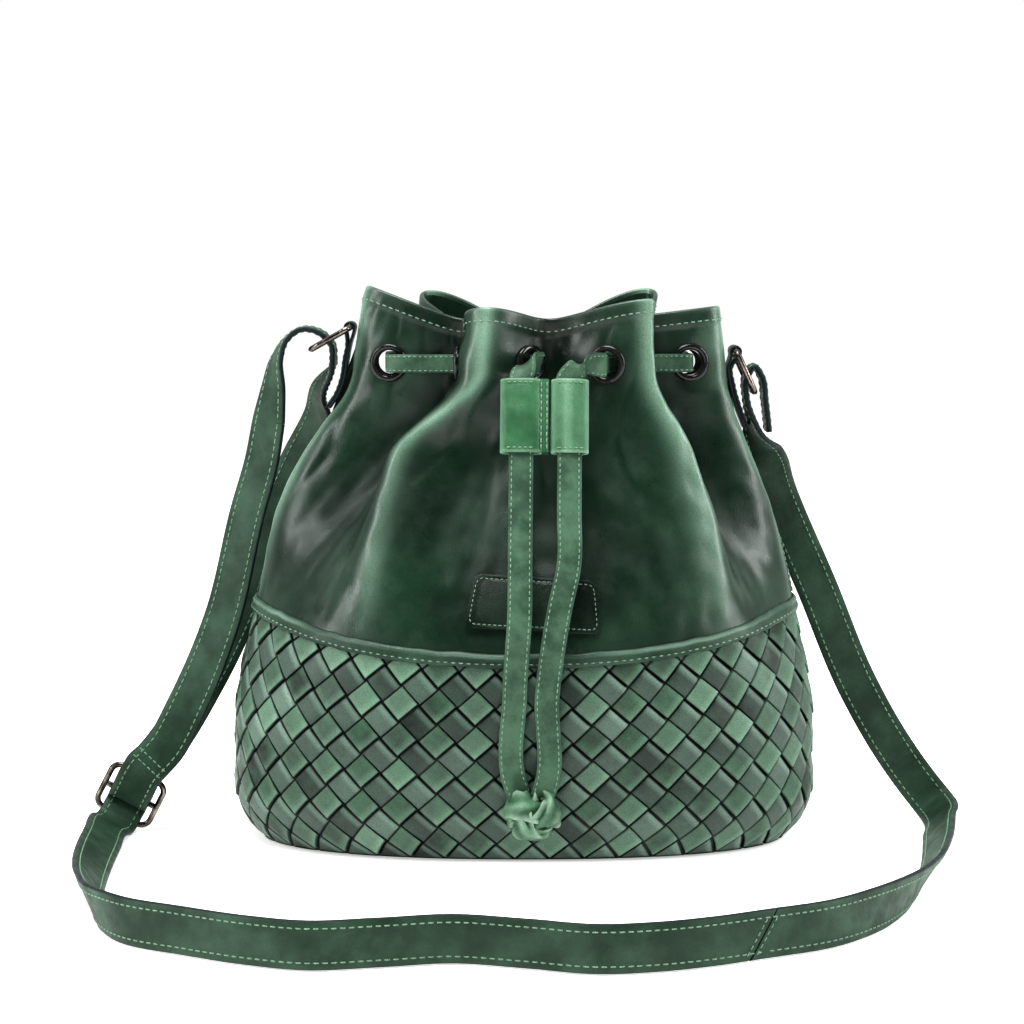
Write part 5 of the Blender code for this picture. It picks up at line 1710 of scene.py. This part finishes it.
@dataclass(frozen=True)
class Strap:
    """The shoulder strap: three runs of doubled leather, stitched inside both edges.

    The runs' places are in millimetres, with the direction of the strap's width at each.
    """

    adjuster: Adjuster
    width: float = 21 * MM
    thickness: float = 2.4 * MM
    corner: float = 0.9 * MM
    crown: float = 0.15 * MM
    stitch_inset: float = 3.3 * MM
    splice: float = -7 * MM  # how far the joint in front leans, at each edge
    sewn_fold: Fold = Fold(Body.BAG, Body.ADJUSTER, (-0.171, -0.005, 0.065), (-0.190, 0.0, 0.036))

    def run(self, name: str, route: Route, count: int, node: str, far_end: str, lay: str,
            fold: Fold, slant: tuple[float, float] = (0.0, 0.0)) -> None:
        """One run of strap and its stitches.

        Args:
            name: Piece name.
            route: Its path.
            count: Points along it.
            node: The frame node that it stands for.
            far_end: What is at its end. Not used.
            lay: How it lies. Not used.
            fold: What it rides on.
            slant: How far its first and last ends lean along the path at each edge.
        """
        line = route.sampled(count)
        strap = line.strip(self.width, self.thickness, self.corner, self.crown, slant).add(
            name, STRAP, fold, node
        )
        Thread(length=2.6 * MM, pitch=3.7 * MM, radius=0.36 * MM).edge_rows(
            line, self.width, self.thickness + 0.2 * MM, self.stitch_inset
        ).add(f"{name}_stitches", THREAD, fold)
        round(float(line.along()[-1]), 3)
        line.sampled(90).centre.tolist()

    def build(self) -> None:
        """The right run, the left run and the doubled outer run."""
        left = Route.in_mm(list(LEFT_RUN)).rows
        weave = np.array(self.adjuster.at(ADJUSTER_WEAVE))
        inner = Route.in_mm(list(INNER_RUN)).rows
        outer = Route.in_mm(list(OUTER_RUN)).rows
        sewn = np.array(self.adjuster.at(SEWN_END))
        self.run("strap_run_right", Route.in_mm(list(RIGHT_RUN)), 620, "strap_right", "object", "loose",
                 Fold(Body.BAG, Body.RING_RIGHT, (0.117, 0, 0.200), (0.117, 0, 0.225)), (0.0, self.splice))
        self.run("strap_run_left", Route(np.concatenate([left, weave, inner])), 1000, "strap_left", "object",
                 "loose", Fold(Body.BAG, Body.RING_LEFT, (-0.110, 0, 0.215), (-0.110, 0, 0.245)),
                 (self.splice, 0.0))
        self.run("strap_run_sewn", Route(np.concatenate([outer, sewn])), 360, "strap_sewn_run", "object",
                 "loose", self.sewn_fold)
        self.marks()

    def marks(self) -> None:
        """Two rows of stitches across the sewn end, above the slide, and the splice's slanted row."""
        run = Route.in_mm(list(OUTER_RUN)).rows
        outer = Route(np.concatenate([run, self.adjuster.at(SEWN_END)])).sampled(360)
        _, across, face = outer.frames()
        away = face * np.sign((face * (-1, -1, 0)).sum(-1, keepdims=True))
        rows = []
        for place in (300, 307):
            reach = np.linspace(-1, 1, 80)[:, None] * (self.width / 2 - 1.5 * MM)
            lift = self.thickness / 2 + 0.15 * MM
            line = outer.centre[place] + across[place] * reach + away[place] * lift
            rows.append(Thread().seam(line, np.broadcast_to(away[place], line.shape)))
        Surface.joined(rows).add("strap_sewn_end_stitches", THREAD, self.sewn_fold)
        front = Route.in_mm(list(LEFT_RUN)).sampled(400)
        ahead, across, face = (axes[0] for axes in front.frames())
        out = face * -np.sign(face[1])
        reach = np.linspace(-0.82, 0.82, 80)[:, None]
        rows = [
            self.splice_row(front.centre[0], ahead, across, out, reach, along)
            for along in (-2.4 * MM, 2.4 * MM)
        ]
        Surface.joined(rows).add("strap_splice_stitches", THREAD, Body.BAG)

    def splice_row(self, middle: Array, ahead: Array, across: Array, out: Array, reach: Array, along: float
                   ) -> Surface:
        """A row of stitches beside the slanted joint."""
        line = middle + across * reach * self.width / 2 + ahead * (self.splice * reach + along)
        line = line + out * (self.thickness / 2 + 0.12 * MM)
        return Thread(length=2.2 * MM, pitch=3.2 * MM).seam(line, np.broadcast_to(out, line.shape))


# Inside and underneath


@dataclass(frozen=True)
class Inside:
    """The lining, the facing round the mouth, and the base."""

    lining_wall: float = 0.8 * MM
    leather: float = 1.3 * MM
    layer_gap: float = 0.7 * MM
    weave_wall: float = 2.2 * MM
    slack: float = 1.0 * MM
    floor: float = 4.5 * MM
    facing_low: float = 226 * MM
    columns: int = 360

    def band(self, low: Array, high: Array, outer: Array, inner: Array, rows: int) -> Surface:
        """A closed band of thin wall that goes all the way round, between two heights."""
        angles = np.linspace(0, TURN, self.columns, endpoint=False)
        heights = low + (high - low) * np.linspace(0, 1, rows)[:, None]
        spread = np.broadcast_to(angles, heights.shape)
        layers = [
            WALL.pressed(WALL.laid(spread, heights, np.broadcast_to(away, heights.shape)))
            for away in (outer, inner)
        ]
        return Surface.loft(np.concatenate([layers[0], layers[1][::-1]]), closed_rows=True,
                            shade=np.zeros((2 * rows, self.columns)), wear=np.zeros((2 * rows, self.columns)))

    def lining_cup(self) -> Surface:
        """An open cup inside the wall with a flat floor; the cloth hangs in soft vertical slack."""
        angles = np.linspace(0, TURN, self.columns, endpoint=False)
        share = np.linspace(0, 1, 60)[:, None]
        rows = []
        for start, distance in ((self.floor, 0.0), (self.floor + self.lining_wall, -self.lining_wall)):
            heights = start + (self.facing_low - 0.5 * MM - start) * share + 0 * angles
            spread = np.broadcast_to(angles, heights.shape)
            outer = -(self.weave_wall + self.layer_gap + self.slack)
            waves = ripple(spread * 2.5, heights * 8, (1.1, 1.8), 12, 61)
            slack = -0.9 * MM * (1 + waves) * ease(share / 0.15)
            slack = slack * ease((1 - share) / 0.08)
            corner = 1.5 * MM * (1 - ease(heights / WALL.band_low))
            rows.append(WALL.laid(spread, heights, outer + slack - corner + distance))
        grid = np.concatenate([rows[0], rows[1][::-1]])
        floor = [
            np.concatenate([ring[..., :2] * k, np.broadcast_to(z, ring[..., :1].shape)], -1)
            for ring, z in ((rows[0][0], self.floor), (rows[1][0], self.floor + self.lining_wall))
            for k in (0.66, 0.33, 0.02)
        ]
        under, over = np.stack(floor[:3]), np.stack(floor[3:])
        return Surface.loft(np.concatenate([under[::-1], grid, over]))

    def plate(self, inset: float, low: float, thickness: float, corner: float) -> Surface:
        """A level plate whose outline follows the wall's foot, with rounded edges."""
        angles = np.linspace(0, TURN, 240, endpoint=False)
        turn = np.linspace(-math.pi / 2, math.pi / 2, 9)
        insets = np.concatenate([[70 * MM, 40 * MM, 12 * MM], inset + corner * (1 - np.cos(turn)),
                                 [12 * MM, 40 * MM, 70 * MM]])
        levels = low + thickness / 2 * (1 + np.concatenate([[-1, -1, -1], np.sin(turn), [1, 1, 1]]))
        outline = WALL.laid(angles, np.zeros_like(angles), -inset)
        rows = []
        for away, level in zip(insets, levels):
            shrink = 1 - (away - inset) / (WALL.half_depth * 0.9)
            rows.append(np.stack([outline[:, 0] * shrink, outline[:, 1] * shrink, np.full(240, level)], -1))
        return Surface.loft(np.stack(rows), shade=np.zeros((len(rows), 240)), wear=np.zeros((len(rows), 240)))

    def build(self) -> None:
        """All of the pieces inside and underneath."""
        angles = np.linspace(0, TURN, self.columns, endpoint=False)
        face = -(self.leather + self.layer_gap)
        low = np.full(angles.shape, self.facing_low)
        self.band(low, WALL.rim(angles) - 2.5 * MM, np.array(face - 0.25 * MM),
                  np.array(face - self.lining_wall), 20).add("facing_band", SMOOTH, Body.BAG, "mouth_facing")
        pierce(bpy.data.objects["facing_band"], UpperPanels().hole_cutter())
        bpy.data.objects.remove(bpy.data.objects["eyelet_holes"])
        self.lining_cup().add("lining_cup", CLOTH, Body.BAG, "lining")
        self.plate(self.weave_wall + self.layer_gap, 0.0, 2.0 * MM, 0.8 * MM).add(
            "base_leather", SMOOTH, Body.BAG, "base_panel"
        )
        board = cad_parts["base_board"]
        board.data.materials.clear()
        board.data.materials.append(BOARD.material())


# Studio


@dataclass(frozen=True)
class Studio:
    """A pale floor, soft light from above and both sides, and the camera."""

    camera: Point = (-6 * MM, -1.382, 0.296)
    pitch: float = math.radians(-5.46)
    lens: float = 96.7
    floor_size: float = 14.0

    def area(self, name: str, place: Point, aim: Point, size: tuple[float, float], power: float) -> None:
        """A soft light from a rectangle, aimed at a place."""
        light = bpy.data.lights.new(name, "AREA")
        light.shape = "RECTANGLE"
        light.size, light.size_y = size
        light.energy = power
        made = bpy.data.objects.new(name, light)
        away = np.array(aim) - np.array(place)
        made.location = place
        made.rotation_euler = (
            math.atan2(math.hypot(away[0], away[1]), -away[2]), 0, math.atan2(away[0], -away[1]) + math.pi,
        )
        bpy.context.collection.objects.link(made)

    def world(self) -> None:
        """A bright room behind the bag that falls off towards the front, as a studio does."""
        world = bpy.data.worlds.new("studio_room")
        world.use_nodes = True
        nodes, links = world.node_tree.nodes, world.node_tree.links
        place = nodes.new("ShaderNodeTexCoord").outputs["Generated"]
        split = nodes.new("ShaderNodeSeparateXYZ")
        links.new(place, split.inputs[0])
        ramp = nodes.new("ShaderNodeMapRange")
        ramp.interpolation_type = "SMOOTHSTEP"
        for key, number in (("From Min", -0.6), ("From Max", 0.7), ("To Min", 0.05), ("To Max", 1.0)):
            ramp.inputs[key].default_value = number
        links.new(split.outputs["Y"], ramp.inputs["Value"])
        links.new(ramp.outputs["Result"], nodes["Background"].inputs["Strength"])
        nodes["Background"].inputs["Color"].default_value = (1, 1, 1, 1)
        bpy.context.scene.world = world

    def build(self) -> None:
        """The floor, the lights, the world and the camera."""
        mesh = bpy.data.meshes.new("studio_floor")
        half = self.floor_size / 2
        corners = [(-half, -half, 0), (half, -half, 0), (half, half, 0), (-half, half, 0)]
        mesh.from_pydata(corners, [], [(0, 1, 2, 3)])
        pale = Shader("studio_floor_pale")
        tone = pale.mix(pale.noise(3), (0.90, 0.90, 0.89), (0.92, 0.92, 0.91))
        pale.join(tone, pale.surface.inputs["Base Color"])
        pale.set(Roughness=0.9, Emission_Strength=0.55)
        pale.surface.inputs["Emission Color"].default_value = (1, 1, 1, 1)
        mesh.materials.append(pale.material)
        floor = bpy.data.objects.new("studio_floor", mesh)
        bpy.context.collection.objects.link(floor)
        self.area("light_top", (-0.25, -0.45, 1.7), (0, 0, 0.1), (1.0, 0.8), 36)
        self.area("light_left", (-1.5, -0.75, 0.75), (0, 0, 0.15), (0.35, 1.3), 19)
        self.area("light_right", (1.5, -0.45, 0.8), (0, 0, 0.15), (0.40, 1.3), 22)
        self.world()
        lens = bpy.data.cameras.new("studio_camera")
        lens.lens = self.lens
        lens.sensor_width = 36
        lens.clip_end = 40
        made = bpy.data.objects.new("studio_camera", lens)
        made.location = self.camera
        made.rotation_euler = (math.pi / 2 + self.pitch, 0, 0)
        bpy.context.collection.objects.link(made)
        scene = bpy.context.scene
        scene.camera = made
        scene.view_settings.view_transform = "Standard"
        scene.view_settings.gamma = 0.8


def main() -> None:
    """Builds every sub-assembly in order."""
    logging.basicConfig(level=logging.INFO, format="%(message)s")
    tails, adjuster = Tails(), Adjuster()
    assemblies = [
        Studio(),
        Strap(adjuster),
        Drawstring(),
        tails,
        Stopper(tails),
        adjuster,
        RingAndTab("left", Body.RING_LEFT, (-87 * MM, 0, 257 * MM), (-0.87, 0, -0.49), -1, 217 * MM),
        RingAndTab("right", Body.RING_RIGHT, (105.8 * MM, 0, 245 * MM), (0.42, 0, -0.907), 1, 207 * MM),
        UpperPanels(),
        Weave(),
        SeamBand(),
        SideWelts(),
        LabelPatch(),
        Eyelets(),
        Inside(),
    ]
    for assembly in assemblies:
        LOG.info("building %s", type(assembly).__name__)
        assembly.build()


if __name__ == "__main__":
    main()
